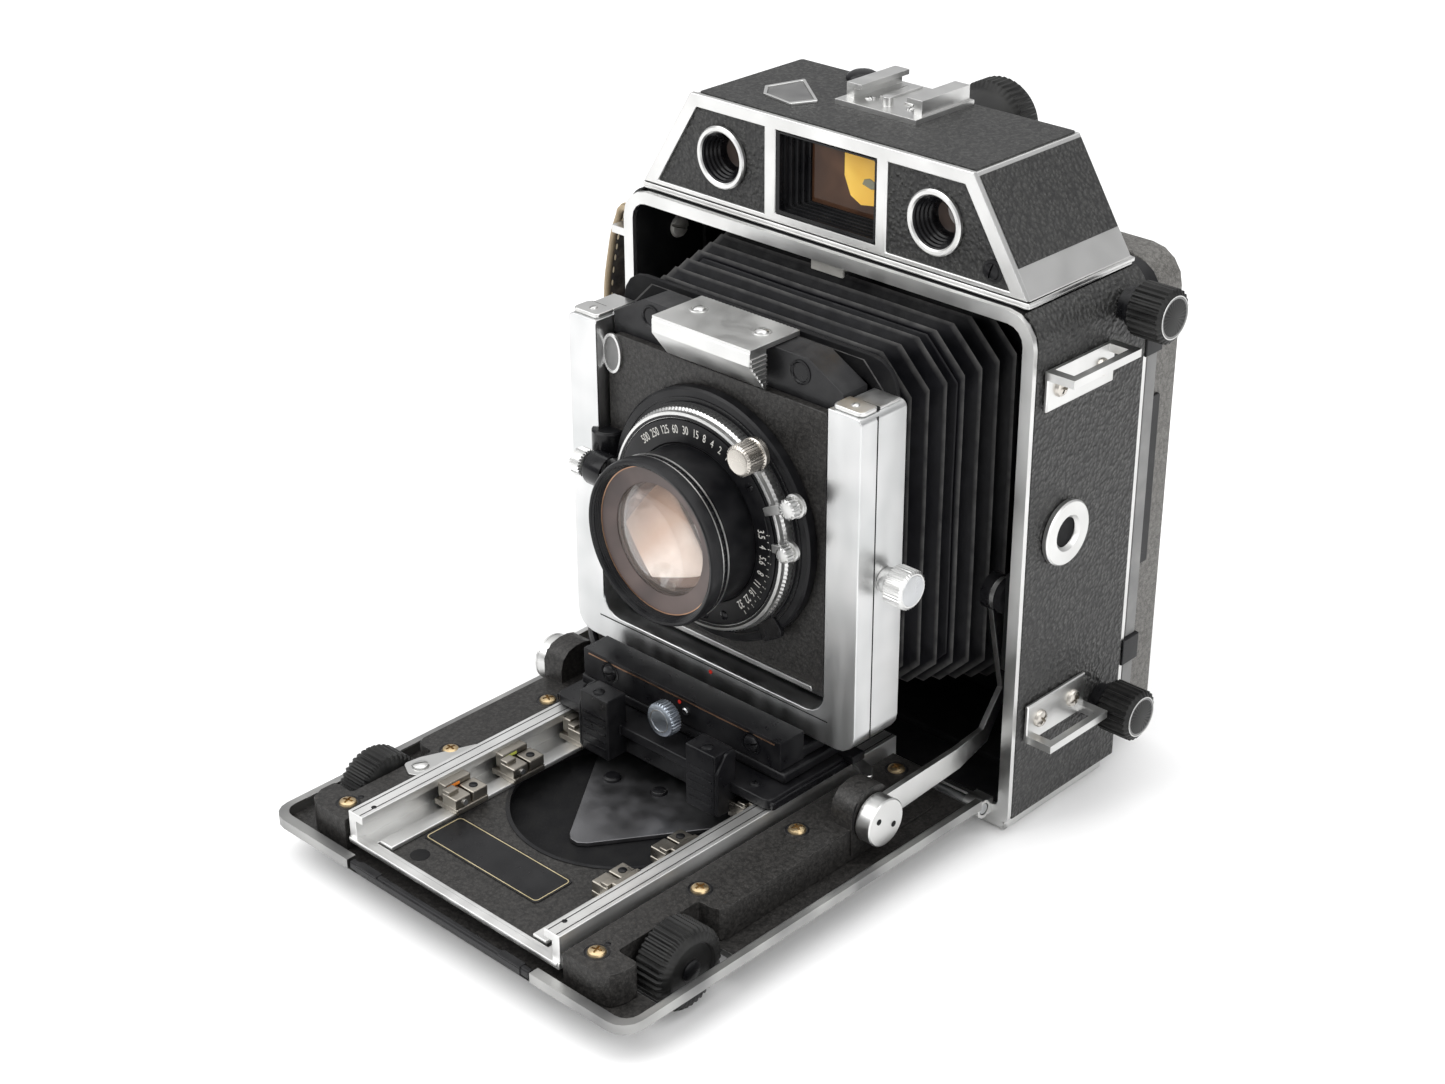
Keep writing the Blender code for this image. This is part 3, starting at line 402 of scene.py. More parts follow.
def refine(node, material, width=0.0, segments=2):
    """A CAD node keeps its shape and gets softened edges and a finished material."""
    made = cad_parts[node]
    made.data.materials.clear()
    made.data.materials.append(material)
    if width:
        made.modifiers.new("weld", "WELD").merge_threshold = 0.002 * MM
        flat = made.modifiers.new("flat", "DECIMATE")
        flat.decimate_type = "DISSOLVE"
        flat.angle_limit = math.radians(1.0)
        for polygon in made.data.polygons:
            polygon.use_smooth = True
        round_edges(made, width, segments)


def baked(made):
    """The mesh of an object with its modifiers, or of a curve or text."""
    bpy.context.view_layer.update()
    return bpy.data.meshes.new_from_object(made.evaluated_get(bpy.context.evaluated_depsgraph_get()))


def curve_mesh(curve):
    """The mesh that a curve or text draws."""
    guide = bpy.data.objects.new(curve.name, curve)
    bpy.context.scene.collection.objects.link(guide)
    mesh = baked(guide)
    bpy.data.objects.remove(guide, do_unlink=True)
    return mesh


def curve_shape(curve, join):
    """A bmesh of what a curve draws; points nearer than join millimetres become one."""
    mesh = curve_mesh(curve)
    shape = bmesh.new()
    shape.from_mesh(mesh)
    bpy.data.meshes.remove(mesh)
    bmesh.ops.remove_doubles(shape, verts=shape.verts, dist=join * MM)
    return shape


def block(name, x_span, y_span, z_span, material, body, bevel=0.3):
    """A softened block between two limits on each axis."""
    spans = (x_span, y_span, z_span)
    size = [abs(span[1] - span[0]) * MM for span in spans]
    centre = [(span[1] + span[0]) / 2 * MM for span in spans]
    shape = bmesh.new()
    place = Matrix.Translation(centre) @ Matrix.Diagonal((*size, 1.0))
    bmesh.ops.create_cube(shape, size=1.0, matrix=place)
    made = place_object(name, to_mesh(shape, name), material, body)
    return soften(made, min(bevel, min(size) / MM * 0.3)) if bevel else made


def lathe(name, axis, centre, profile, material, body, sides=64, closed=False, ribs=None):
    """A profile of (radius, height) points turned about an axis through the centre.

    ribs = (first, last, depth) presses grooves into the profile points first to last; two
    neighbouring sides of each four are grooves.
    """
    shape = bmesh.new()
    rings = []
    for index, (radius, height) in enumerate(profile):
        if radius <= 0:
            rings.append([shape.verts.new((0, 0, height * MM))])
            continue
        ring = []
        for side in range(sides):
            sunk = ribs and ribs[0] <= index <= ribs[1] and side % 4 >= 2
            reach = (radius - (ribs[2] if sunk else 0.0)) * MM
            turn = 2 * math.pi * side / sides
            ring.append(shape.verts.new((reach * math.cos(turn), reach * math.sin(turn), height * MM)))
        rings.append(ring)
    pairs = list(zip(rings, rings[1:])) + ([(rings[-1], rings[0])] if closed else [])
    for first, second in pairs:
        for side in range(sides):
            after = (side + 1) % sides
            near = [first[side % len(first)], first[after % len(first)]]
            far = [second[after % len(second)], second[side % len(second)]]
            shape.faces.new(list(dict.fromkeys(near + far)))
    for ring in (rings[0], rings[-1]):
        if len(ring) > 1 and not closed:
            shape.faces.new(ring)
    matrix = Matrix.Translation(Vector(centre) * MM) @ AXIS_TURN[axis]
    return place_object(name, to_mesh(shape, name), material, body, matrix)


def ridged(name, axis, centre, radius, length, ridges, depth, material, body, edge=0.8):
    """A ridged knob: chamfered ends and square grooves all round, its middle at the centre."""
    half = length / 2
    profile = [(0, -half), (radius - edge - depth, -half), (radius, -half + edge), (radius, half - edge),
        (radius - edge - depth, half), (0, half)]
    return lathe(name, axis, centre, profile, material, body, ridges * 4, ribs=(2, 3, depth))


def rounded(corners, steps=5):
    """An outline whose (u, v, radius) corners are arcs."""
    points = []
    count = len(corners)
    for index, (u, v, radius) in enumerate(corners):
        here = Vector((u, v))
        if radius <= 0:
            points.append(here)
            continue
        before = (Vector(corners[index - 1][:2]) - here).normalized()
        after = (Vector(corners[(index + 1) % count][:2]) - here).normalized()
        half = before.angle(after) / 2
        reach = radius / math.tan(half)
        centre = here + (before + after).normalized() * (radius / math.sin(half))
        start = here + before * reach - centre
        turn = 1 if before.x * after.y - before.y * after.x < 0 else -1
        for step in range(steps + 1):
            points.append(centre + Matrix.Rotation(turn * (math.pi - 2 * half) * step / steps, 2) @ start)
    return points


def rectangle(u_low, u_high, v_low, v_high, radius=0.0):
    corners = ((u_low, v_low), (u_high, v_low), (u_high, v_high), (u_low, v_high))
    return rounded([(u, v, radius) for u, v in corners], 4)


def circle(u, v, radius, sides=40):
    turns = [2 * math.pi * index / sides for index in range(sides)]
    return [Vector((u + radius * math.cos(turn), v + radius * math.sin(turn))) for turn in turns]


def plate(name, plane, low, high, outlines, material, body, bevel=0.25, slot=None):
    """A flat outline, with holes, between two heights on the axis across its plane."""
    curve = bpy.data.curves.new(name + "_outline", "CURVE")
    curve.dimensions = "2D"
    curve.fill_mode = "BOTH"
    curve.extrude = abs(high - low) / 2 * MM
    for outline in outlines:
        spline = curve.splines.new("POLY")
        spline.points.add(len(outline) - 1)
        spline.use_cyclic_u = True
        for point, corner in zip(spline.points, outline):
            point.co = (corner[0] * MM, corner[1] * MM, 0.0, 1.0)
    shape = curve_shape(curve, 0.005)
    bmesh.ops.dissolve_limit(shape, angle_limit=math.radians(1), verts=shape.verts, edges=shape.edges)
    middle = (low + high) / 2 * MM
    shift = {"XY": (0, 0, middle), "XZ": (0, middle, 0), "YZ": (middle, 0, 0)}[plane]
    bmesh.ops.transform(shape, matrix=Matrix.Translation(shift) @ PLANE_TURN[plane], verts=shape.verts)
    made = place_object(name, to_mesh(shape, name), material, body)
    return soften(made, bevel) if bevel else made


def sweep(name, points, radius, material, body, sides=12):
    """A round rod along points in millimetres."""
    curve = bpy.data.curves.new(name, "CURVE")
    curve.dimensions = "3D"
    curve.bevel_depth = radius * MM
    curve.bevel_resolution = sides // 4
    curve.use_fill_caps = True
    spline = curve.splines.new("POLY")
    spline.points.add(len(points) - 1)
    for point, corner in zip(spline.points, points):
        point.co = (*(Vector(corner) * MM), 1.0)
    return place_object(name, to_mesh(curve_shape(curve, 0.002), name), material, body)


def carved(made, cutters):
    """Take cutter objects out of a piece and bake the result into its mesh."""
    for cutter in cutters:
        step = made.modifiers.new("carve", "BOOLEAN")
        step.operation = "DIFFERENCE"
        step.solver = "EXACT"
        step.object = cutter
        step.use_self = False
    mesh = baked(made)
    made.modifiers.clear()
    made.data = mesh
    mesh.shade_smooth()
    mesh.set_sharp_from_angle(angle=SMOOTH_ANGLE)
    for cutter in cutters:
        bpy.data.objects.remove(cutter, do_unlink=True)
    return made


def make_screw_mesh(kind):
    """A screw head of radius 1 mm in local units, with a slot or a cross pressed into it."""
    profile = [(0, 0.42), (0.55, 0.38), (0.86, 0.24), (0.98, 0.02), (1.0, -0.45), (0, -0.45)]
    head = lathe("screw_" + kind, "Z", (0, 0, 0), profile, None, None, 32)
    cutters = []
    for turn in ((0,) if kind == "slot" else (0, 90)):
        half_length, half_width = (1.2, 0.11) if kind == "slot" else (0.6, 0.13)
        cutter = block("screw_cutter", (-half_length, half_length), (-half_width, half_width),
            (0.05, 1.0), None, None, 0)
        cutter.matrix_world = Matrix.Rotation(math.radians(turn), 4, "Z")
        cutters.append(cutter)
    mesh = carved(head, cutters).data
    bpy.data.objects.remove(head, do_unlink=True)
    return mesh


SCREW_MESH = {kind: make_screw_mesh(kind) for kind in ("slot", "cross")}
screw_count = 0


def screw(centre, axis, radius, kind, material, body, turn=25):
    """A screw head lying in the face whose outward direction is axis."""
    global screw_count
    screw_count += 1
    name = "screw_%03d" % screw_count
    matrix = Matrix.Translation(Vector(centre) * MM) @ AXIS_TURN[axis]
    matrix = matrix @ Matrix.Rotation(math.radians(turn), 4,
        "Z") @ Matrix.Diagonal((radius, radius, radius, 1))
    return place_object(name, SCREW_MESH[kind].copy(), material, body, matrix)


def lettering(name, words, material, body):
    """Numerals as flat raised paint: words are (text, height, matrix that places its middle)."""
    shape = bmesh.new()
    for text, height, matrix in words:
        curve = bpy.data.curves.new(name + "_text", "FONT")
        curve.body = text
        curve.size = height * MM * 1.38
        curve.extrude = 0.02 * MM
        curve.align_x = "CENTER"
        curve.align_y = "CENTER"
        mesh = curve_mesh(curve)
        mesh.transform(matrix @ Matrix.Diagonal((0.66, 1, 1, 1)))
        shape.from_mesh(mesh)
        bpy.data.meshes.remove(mesh)
    return place_object(name, to_mesh(shape, name), material, body)


def dress_body():
    """Body, brackets and what is fixed to them."""
    refine("base_plate", CHROME, 0.5)
    refine("body_shell", MATT)
    refine("front_bezel", CHROME, 0.25)
    refine("hinge_pin", STEEL)
    refine("door_catch", CHROME, 0.4)
    for _, label in SIDES:
        refine("side_leather_" + label, LEATHER, 0.2)
        refine("strut_guide_" + label, MATT, 0.25)
        for level in ("upper", "lower"):
            refine("strap_bracket_%s_%s" % (level, label), CHROME, 0.45, 3)
    for side, _ in SIDES:
        for plate_z, back_y, turn in ((129.3, 8.4, 35), (34.1, 5.6, 10)):
            for y in (-14.2, back_y - 5.6):
                screw((side * BRACKET_FACE, y, plate_z), OUTWARD[side], 2.5, "cross", NICKEL,
                    "camera_body", turn + 4 * y)

    # Round tripod bush with its threaded hole.
    profile = [(9.0, -1.1), (9.0, 0.05), (8.6, 0.45), (5.0, 0.45), (4.6, 0.1)]
    for turn in range(4):
        profile += [(4.1, -0.5 - turn * 0.8), (4.5, -0.9 - turn * 0.8)]
    profile += [(4.3, -4.0), (0, -4.0)]
    bush = lathe("tripod_bush", "X", (BUSH_X, BUSH_Y, BUSH_Z), profile, CHROME, "camera_body", 64)
    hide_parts("side_tripod_bush")
    lathe("tripod_bush_hole", "X", (BUSH_X - 2.3, BUSH_Y, BUSH_Z), [(4.35, 0), (4.35, 1.4), (0, 1.4)],
        MATT, "camera_body", 32)

    # Inside of the body: slotted screws, ribs and dark side panels.
    for side, label in SIDES:
        axis = INWARD[side]
        # The big inner screw's pale colour is a painted reflection.
        screw((side * INNER_SCREW_X, -5.7, 133.9), axis, 3.4, "slot", PAINTED_REFLECTION_METAL, "camera_body", 70)
        screw((side * INNER_SCREW_X, -8.0, 114.0), axis, 1.3, "slot", BLACK, "camera_body", 40)
        block("inner_rib_" + label, (side * 66.2, side * 67.5), (3.8, 6.2), (14, 143), MATT,
            "camera_body", 0.4)
        block("inner_panel_" + label, (side * 66.8, side * 67.5), (8.0, 19.5), (16, 141), BLACK,
            "camera_body", 0.2)
    block("inner_floor_step", (-60, 60), (-8, 19.0), (8.5, 11.0), MATT, "camera_body", 0.5)
    # The catch tab's pale colour is a painted reflection.
    block("catch_tab", (-3.5, 7.5), (-21.6, -20.6), (142.4, 146.2), PAINTED_REFLECTION_METAL, "camera_body", 0.3)
    # Raised grooved ledge that the housing stands on.
    for level, inset in ((149.75, 0.4), (150.7, 1.0)):
        plate("ledge_%d" % (level * 10), "XY", level, level + 0.55,
            [rectangle(-66.9 + inset, 66.9 - inset, -21.4 + inset, 23.2 - inset, 1.2),
            rectangle(-60, 60, -15, 19)], CHROME, "camera_body", 0.12)


def grille(name, x_span, z_span, y, steps, material, body):
    """Stepped ledges that shade a window, nearer the middle as they go in."""
    for step in range(steps):
        inset = step * 0.9
        outline = [rectangle(x_span[0], x_span[1], z_span[0], z_span[1], 0.4),
            rectangle(x_span[0] + 1.0 + 1.3 * inset, x_span[1] - 0.4 - inset * 0.15,
            z_span[0] + 0.7 + 0.5 * inset, z_span[1] - 0.4 - inset * 0.15, 0.3)]
        plate("%s_%d" % (name, step), "XZ", y + step * 1.15, y + step * 1.15 + 1.0, outline, material,
            body, 0.12)


def dress_housing():
    """Rangefinder and viewfinder housing: leather panels, windows, shoe, badge and eyepiece."""
    body = "camera_body"
    refine("rangefinder_housing", CHROME, 0.3)
    refine("rangefinder_front_plate", CHROME, 0.35, 3)
    refine("accessory_shoe", CHROME, 0.25)
    # Leather on the front, behind the plate's four-sided openings.
    for side, label in SIDES:
        window = (side * WINDOW_X, HOUSING_FRONT, WINDOW_Z)
        outline = [(side * 20.5, 152.6), (side * 60.9, 152.6), (side * 45.7, 177.1), (side * 20.5, 177.1)]
        hole = circle(side * WINDOW_X, WINDOW_Z, 6.6, 48)
        plate("front_leather_" + label, "XZ", -20.05, -19.1, [outline, hole], LEATHER, body, 0.2,
            "leatherette")
        profile = [(6.3, -9.0), (6.6, -1.2), (8.6, -1.2), (8.6, -0.35), (8.2, 0.0), (7.3, 0.0),
            (6.9, -0.35)]
        ring = lathe("window_ring_" + label, "-Y", window, profile, CHROME, body, 72, True)
        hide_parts("rangefinder_window_" + label)
        profile = [(6.9, -0.4)]
        for step in range(5):
            radius, depth = 6.5 - step * 0.42, step * 1.15
            profile += [(radius, -0.7 - depth), (radius, -1.5 - depth)]
        profile += [(4.3, -7.0), (4.3, -8.4), (6.2, -8.4), (6.9, -1.2)]
        lathe("window_baffle_" + label, "-Y", window, profile, GLOSS, body, 64, True)
        lathe("window_pane_" + label, "-Y", window, [(4.4, -7.4), (3.0, -7.15), (0, -7.05)], WINDOW_GLASS,
            body, 40)
    lathe("adjuster_collar", "-Y", (ADJUSTER_X, -20.15, ADJUSTER_Z),
        [(0, 0), (3.0, 0), (3.0, 0.15), (2.6, 0.3), (0, 0.3)], BLACK, body, 40)
    screw((ADJUSTER_X, -20.4, ADJUSTER_Z), "-Y", 2.3, "slot", BLACK, body, 75)

    # Viewfinder: stepped black tunnel, amber pane and the bright patch of its mirror.
    rim = plate("finder_rim", "XZ", -20.6, -19.0,
        [rectangle(-16.8, 17.1, 154.2, 176.5, 0.3), rectangle(-15.6, 16.6, 155.2, 176.0, 0.3)], GLOSS,
        body, 0.15, "black_metal")
    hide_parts("viewfinder_frame")
    grille("finder_step", (-16.0, 16.8), (154.8, 176.2), -19.0, 5, BLACK, body)
    pane = plate("finder_pane", "XZ", -13.6, -12.9, [rectangle(-12.4, 16.7, 156.4, 176.0)], AMBER, body,
        0.1, "finder_glass")
    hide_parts("viewfinder_glass")
    plate("finder_mirror", "XZ", -13.78, -13.6,
        [[(0.8, 167.0), (3.0, 162.0), (6.5, 160.2), (16.4, 161.8), (16.4, 175.6), (0.8, 175.6)]], YELLOW,
        body, 0.05)
    plate("finder_shade", "XZ", -13.95, -13.75,
        [[(7.0, 166.0), (10.0, 165.2), (15.2, 166.6), (15.0, 167.8), (11.6, 167.2), (9.4, 168.0),
        (7.6, 167.4)]], OLIVE, body, 0.05)
    plate("finder_lower_pane", "XZ", -13.72, -13.6,
        [[(-12.2, 156.6), (16.5, 156.6), (16.5, 164.8), (3.8, 162.6), (0.8, 167.0), (0.8, 175.8),
        (-12.2, 175.8)]], BROWN_GLASS, body, 0.05)

    # Leather on the sloping sides, the top and the back, with chrome left showing at the edges.
    slope = math.atan2(HOUSING_FOOT_X - 47.3, 179.8 - HOUSING_FOOT_Z)
    lift = 0.35
    for side, label in SIDES:
        shape = bmesh.new()
        corners = []
        for z in (158.3, 178.9):
            edge_x = HOUSING_FOOT_X - (z - HOUSING_FOOT_Z) * math.tan(slope)
            for y in (-18.2, 22.3):
                corners.append((side * (edge_x + lift * math.cos(slope)) * MM, y * MM,
                    (z + lift * math.sin(slope)) * MM))
        inner = [(x - side * 0.5 * MM, y, z - 0.3 * MM) for x, y, z in corners]
        verts = [shape.verts.new(corner) for corner in corners + inner]
        for a, b, c, d in ((0, 1, 3, 2), (4, 6, 7, 5), (0, 4, 5, 1), (2, 3, 7, 6), (0, 2, 6, 4),
                (1, 5, 7, 3)):
            shape.faces.new([verts[a], verts[b], verts[c], verts[d]])
        name = "slope_leather_" + label
        soften(place_object(name, to_mesh(shape, name), LEATHER, body), 0.15)
    plate("top_leather", "XY", 179.6, 180.25,
        [rectangle(-46.6, 46.6, -18.4, 22.4, 1.0), rectangle(-13.1, 14.1, -1.9, 21.7)], LEATHER, body,
        0.2, "leatherette")
    plate("rear_leather", "XZ", 22.9, 23.4,
        [rounded([(-61.5, 153.6, 1), (61.5, 153.6, 1), (46.0, 178.0, 1), (-46.0, 178.0, 1)]),
        circle(EYEPIECE[0], EYEPIECE[2], 10.9)], LEATHER, body, 0.2, "leatherette")
    badge_outline = rounded([(-35.8, -4.4, 0.5), (-32.2, 7.5, 0.5), (-16.7, -4.6, 0.5),
        (-20.3, -11.5, 0.5), (-31.6, -9.6, 0.5)], 3)
    middle = Vector((-27.0, -4.2))
    inner = [middle + (point - middle) * 0.86 for point in badge_outline]
    plate("badge_rim", "XY", 180.2, 180.95, [badge_outline, inner], CHROME, body, 0.15)
    plate("badge_field", "XY", 180.2, 180.6, [inner], PALE_GREY, body, 0.08)
    lathe("finder_dome", "Z", (-22, 19.5, 180.1),
        [(4.6, 0), (4.6, 0.8), (4.1, 1.6), (2.8, 2.3), (1.2, 2.6), (0, 2.7)], GLOSS, body, 48)
    for x, y in ((-6.5, 4.4), (7.5, 4.4), (-5.0, 17.5), (6.0, 17.5)):
        screw((x, y, SHOE_TOP), "Z", 1.55, "slot", CHROME, body, 30 + 9 * x)
    for x in (-3.6, 4.6):
        block("shoe_spring_%d" % (x > 0), (x - 1.6, x + 1.6), (6.5, 20.5), (SHOE_TOP, SHOE_TOP + 0.6),
            CHROME, body, 0.15)

    # Eyepiece: tapered tube with a thick ribbed ring.
    profile = [(0, -8.0), (9.2, -8.0), (9.6, -3.0), (10.3, 4.0), (10.6, 4.6), (12.2, 5.6), (12.2, 11.4),
        (11.4, 12.5), (8.4, 12.6), (7.4, 11.4), (6.6, 6.0), (0, 6.0)]
    eyepiece = lathe("eyepiece_tube", "Y", EYEPIECE, profile, RIBBED, body, 4 * 44, ribs=(5, 6, 0.5))
    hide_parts("eyepiece")
    lathe("eyepiece_lens", "Y", EYEPIECE, [(6.6, 6.6), (4.0, 7.6), (0, 8.0)], WINDOW_GLASS, body, 48)


def dress_back():
    """Ground glass back, its hood, edge strips and clamp knobs."""
    refine("back_frame", BLACK, 0.4)
    refine("ground_glass", FROSTED)
    refine("focusing_hood", HAMMERTONE_HOOD, 0.9, 4)
    for side, label in SIDES:
        block("back_edge_" + label, (side * 68.3, side * 69.9), (23.7, 26.9), (12, 143), CHROME,
            "camera_body", 0.3)
        block("back_channel_" + label, (side * 68.2, side * 69.4), (28.0, 32.4), (16, 138), GREY, "back",
            0.25)
        for z in (36, 128):
            block("back_hook_%s_%d" % (label, z), (side * 68.3, side * 70.6), (25.6, 33.0),
                (z - 4, z + 4), BLACK, "back", 0.4)
        for level, z in (("upper", 143.0), ("lower", 27.6)):
            knob_body = "back_knob_%s_%s" % (level, label)
            axis = OUTWARD[side]
            centre = (side * BACK_KNOB_X, BACK_KNOB_Y, z)
            knob = ridged("clamp_knob_%s_%s" % (level, label), axis,
                (side * (BACK_KNOB_X + 1.2), BACK_KNOB_Y, z), 7.2, 10.6, 26, 0.55, RIBBED, knob_body, 0.9)
            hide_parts(knob_body)
            lathe("clamp_collar_%s_%s" % (level, label), axis, centre,
                [(4.6, -7.7), (4.6, -5.4), (5.6, -5.2), (5.6, -3.6)], BLACK, knob_body, 40)
            lathe("clamp_face_%s_%s" % (level, label), axis, centre,
                [(5.4, 6.2), (5.4, 6.55), (5.1, 6.58), (4.7, 6.4), (0, 6.4)], GREY, knob_body, 48)
            lathe("clamp_rim_%s_%s" % (level, label), axis, centre,
                [(5.7, 6.3), (5.7, 6.6), (5.45, 6.6), (5.45, 6.3)], CHROME, knob_body, 64, True)
            screw((side * BACK_KNOB_X, BACK_KNOB_Y + 4.5, z + 3.6), axis, 0.7, "slot", STEEL, knob_body)
        plate("hood_hinge_%s" % label, "YZ", side * 67.4, side * 68.4,
            [rectangle(31.5, 37.0, 60, 110, 0.8)], BLACK, "back", 0.2)
    frame_outer = rectangle(-58.5, 58.5, 23.5, 144.5, 5)
    plate("hood_lid_edge", "XZ", 44.6, 45.0, [frame_outer, rectangle(-56.8, 56.8, 25.2, 142.8, 4)], BLACK,
        "hood", 0.1)
    block("hood_latch", (-9, 9), (40.5, 45.0), (146.4, 147.5), CHROME, "hood", 0.3)
    for step in range(4):
        block("hood_latch_groove_%d" % step, (-8, 8), (41.2 + step, 41.6 + step), (147.3, 147.6), BLACK,
            "hood", 0.05)
    for x in (-47.0, 47.0):
        for z in (36.0, 132.0):
            screw((x, 44.25, z), "Y", 1.8, "slot", NICKEL, "hood", 20 + x + z)


def dress_bed():
    """Drop bed: tray, covers with their screws, latch, struts and the focusing knobs."""
    refine("bed_tray", LIP, 0.35)
    refine("bed_tripod_plate", CHROME, 0.5)
    refine("focus_shaft", STEEL)
    refine("bed_latch", BLACK, 0.25)
    plate("bed_floor", "XY", BED_FLOOR - 0.12, BED_FLOOR + 0.02,
        [rectangle(-64.85, 64.85, -159.5, -30.6, 4), rectangle(-62.9, -49.8, -147.2, -120.8),
        rectangle(49.8, 62.9, -147.2, -120.8)], HAMMERTONE, "bed", 0)
    for side, label in SIDES:
        refine("bed_cover_" + label, HAMMERTONE, 0.7, 3)
        refine("strut_" + label, CHROME, 0.35)
        for y in (-151.6, -116.4, -80.8, -41.5):
            centre = (side * 46.8, y)
            lathe("cover_recess_%s_%d" % (label, -y), "Z", (*centre, COVER_TOP - 0.2),
                [(3.3, 0.22), (3.15, 0.36), (2.7, 0.3), (2.6, 0.0)], BLACK, "bed", 40)
            screw((*centre, COVER_TOP), "Z", 2.45, "cross", BRASS, "bed", 7 * y)
        # Pivot disc with two spanner holes, and the washer stack behind it.
        axis = OUTWARD[side]
        pivot = (side * STRUT_FOOT_X, STRUT_FOOT_Y, STRUT_FOOT_Z)
        upper = (side * STRUT_TOP_X, STRUT_TOP_Y, STRUT_TOP_Z)
        wheel = (side * FOCUS_KNOB_X, FOCUS_KNOB_Y, FOCUS_KNOB_Z)
        body = "strut_" + label
        lathe("strut_face_" + label, axis, pivot, [(6.75, 1.6), (6.75, 2.25), (6.4, 2.55), (0, 2.6)],
            CHROME, body, 72)
        for dy, dz in ((-2.9, 1.6), (2.9, -1.6)):
            lathe("strut_hole_%s_%d" % (label, dy > 0), axis, (pivot[0], pivot[1] + dy, pivot[2] + dz),
                [(0.85, 2.4), (0.85, 2.66), (0, 2.62)], MATT, body, 24)
        lathe("strut_washer_" + label, axis, (side * 57.9, STRUT_FOOT_Y, STRUT_FOOT_Z),
            [(5.6, -0.3), (5.6, 0.3)], BLACK, body, 48)
        lathe("strut_boss_" + label, axis, upper,
            [(0, -4.2), (3.0, -4.2), (4.9, -3.6), (4.9, -0.8), (4.2, -0.6), (4.2, 0.6), (4.9, 0.8),
            (4.9, 2.9), (3.6, 3.4), (0, 3.4)], BLACK, body, 64)
        lathe("strut_boss_rim_" + label, INWARD[side], upper, [(3.1, 4.1), (2.9, 4.5), (0, 4.6)], STEEL,
            body, 40)
        line = [(side * 58.1, y, z) for y, z in ((-17.6, 63), (-15.6, 50), (-13.6, 40))]
        sweep("strut_groove_" + label, line, 0.32, BLACK, body)
        # Seam on the post that carries the pivot.
        line = [(side * 57.75, y, z) for y, z in ((-71.6, 20), (-71.6, 24.6), (-70.2, 27.4))]
        sweep("post_seam_" + label, line, 0.18, MATT, "bed")
        # Focusing knob: deep ridges, plain hub and a dimpled end.
        knob = lathe("focus_ridges_" + label, axis, wheel,
            [(0, -5.3), (8.2, -5.3), (10.4, -4.6), (11.15, -3.9), (11.15, 3.6), (10.4, 4.6), (8.6, 5.3),
            (7.6, 5.3), (7.2, 4.5), (0, 4.5)], RIBBED, "focus_drive", 4 * 40, ribs=(2, 5, 0.55))
        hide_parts("focus_knob_" + label)
        lathe("focus_hub_" + label, axis, wheel, [(2.9, 4.4), (2.9, 5.0), (2.4, 5.3), (0, 5.3)], BLACK,
            "focus_drive", 40)
        screw((side * 46.4, -147.6, 19.5), "Z", 0.9, "slot", BLACK, "bed", 33)
        # Worn lip: a thin bright line along the tray's inner edge.
        block("lip_line_" + label, (side * 64.85, side * 65.1), (-152, -34), (12.4, 13.0), CHROME, "bed",
            0.08)
        block("corner_rest_" + label, (side * 38, side * 56), (-159.9, -159.5), (10.4, 12.6), BLACK,
            "bed", 0.15)
    block("latch_bar_lip", (-31.0, 31.0), (-162.45, -161.9), (10.6, 12.4), BLACK, "bed_latch", 0.15)
    for x in (-27.0, 27.0):
        block("latch_tab_%d" % (x > 0), (x - 4, x + 4), (-162.4, -160.2), (12.4, 12.95), BLACK,
            "bed_latch", 0.15)
    # Rivets and rubber studs under the bed.
    for side, _ in SIDES:
        for y in (-40, -148):
            lathe("bed_stud_%d_%d" % (side > 0, -y), "-Z", (side * 36, y, 8.2),
                [(3.4, 0), (3.2, 0.9), (0, 1.0)], MATT, "bed", 32)
        screw((side * 15, -80, 0.9), "-Z", 2.0, "cross", NICKEL, "bed", 15)
        screw((side * 15, -112, 0.9), "-Z", 2.0, "cross", NICKEL, "bed", 60)
        screw((side * 55, -12, 1.05), "-Z", 2.4, "cross", NICKEL, "camera_body", 60)
    lathe("bed_tripod_thread", "-Z", (0, -96, 0.0),
        [(6.2, 0.0), (5.9, 0.02), (5.2, -0.9), (4.8, -3.4), (0, -3.4)], STEEL, "bed", 48)


def stop_block(name, side, y, mark):
    """A folding infinity stop on a rail: split nickel block with a lifted flap and a pin."""
    body = "focus_platform"
    x = side * STOP_X
    block(name + "_foot", (x - 4.6, x + 4.6), (y - 5.5, y + 5.5), (15.9, STOP_FOOT_TOP), STOP_NICKEL,
        body, 0.35)
    for part, (low, high) in enumerate(((-5.5, -0.3), (0.3, 5.5))):
        block("%s_half_%d" % (name, part), (x - side * 4.4, x + side * 1.2), (y + low, y + high),
            (STOP_FOOT_TOP, 20.6), STOP_NICKEL, body, 0.4)
    block(name + "_flap", (x + side * 1.4, x + side * 4.4), (y - 4.2, y + 4.8), (STOP_FOOT_TOP, 22.0),
        STOP_NICKEL, body, 0.4)
    block(name + "_ear", (x - side * 1.4, x + side * 1.3), (y - 5.3, y - 1.8), (STOP_FOOT_TOP, 21.6),
        STOP_NICKEL, body, 0.3)
    sweep(name + "_pin", [(x - 4.9, y - 2.6, 19.0), (x + 4.9, y - 2.6, 19.0)], 0.8, STEEL, body)
    screw((x - side * 1.8, y + 2.8, 20.5), "Z", 1.3, "slot", BLACK, body, 40)
    if mark:
        block(name + "_mark", (x + side * 1.3, x + side * 4.5), (y - 3.4, y + 0.8), (20.6, 21.4), mark,
            body, 0.05)


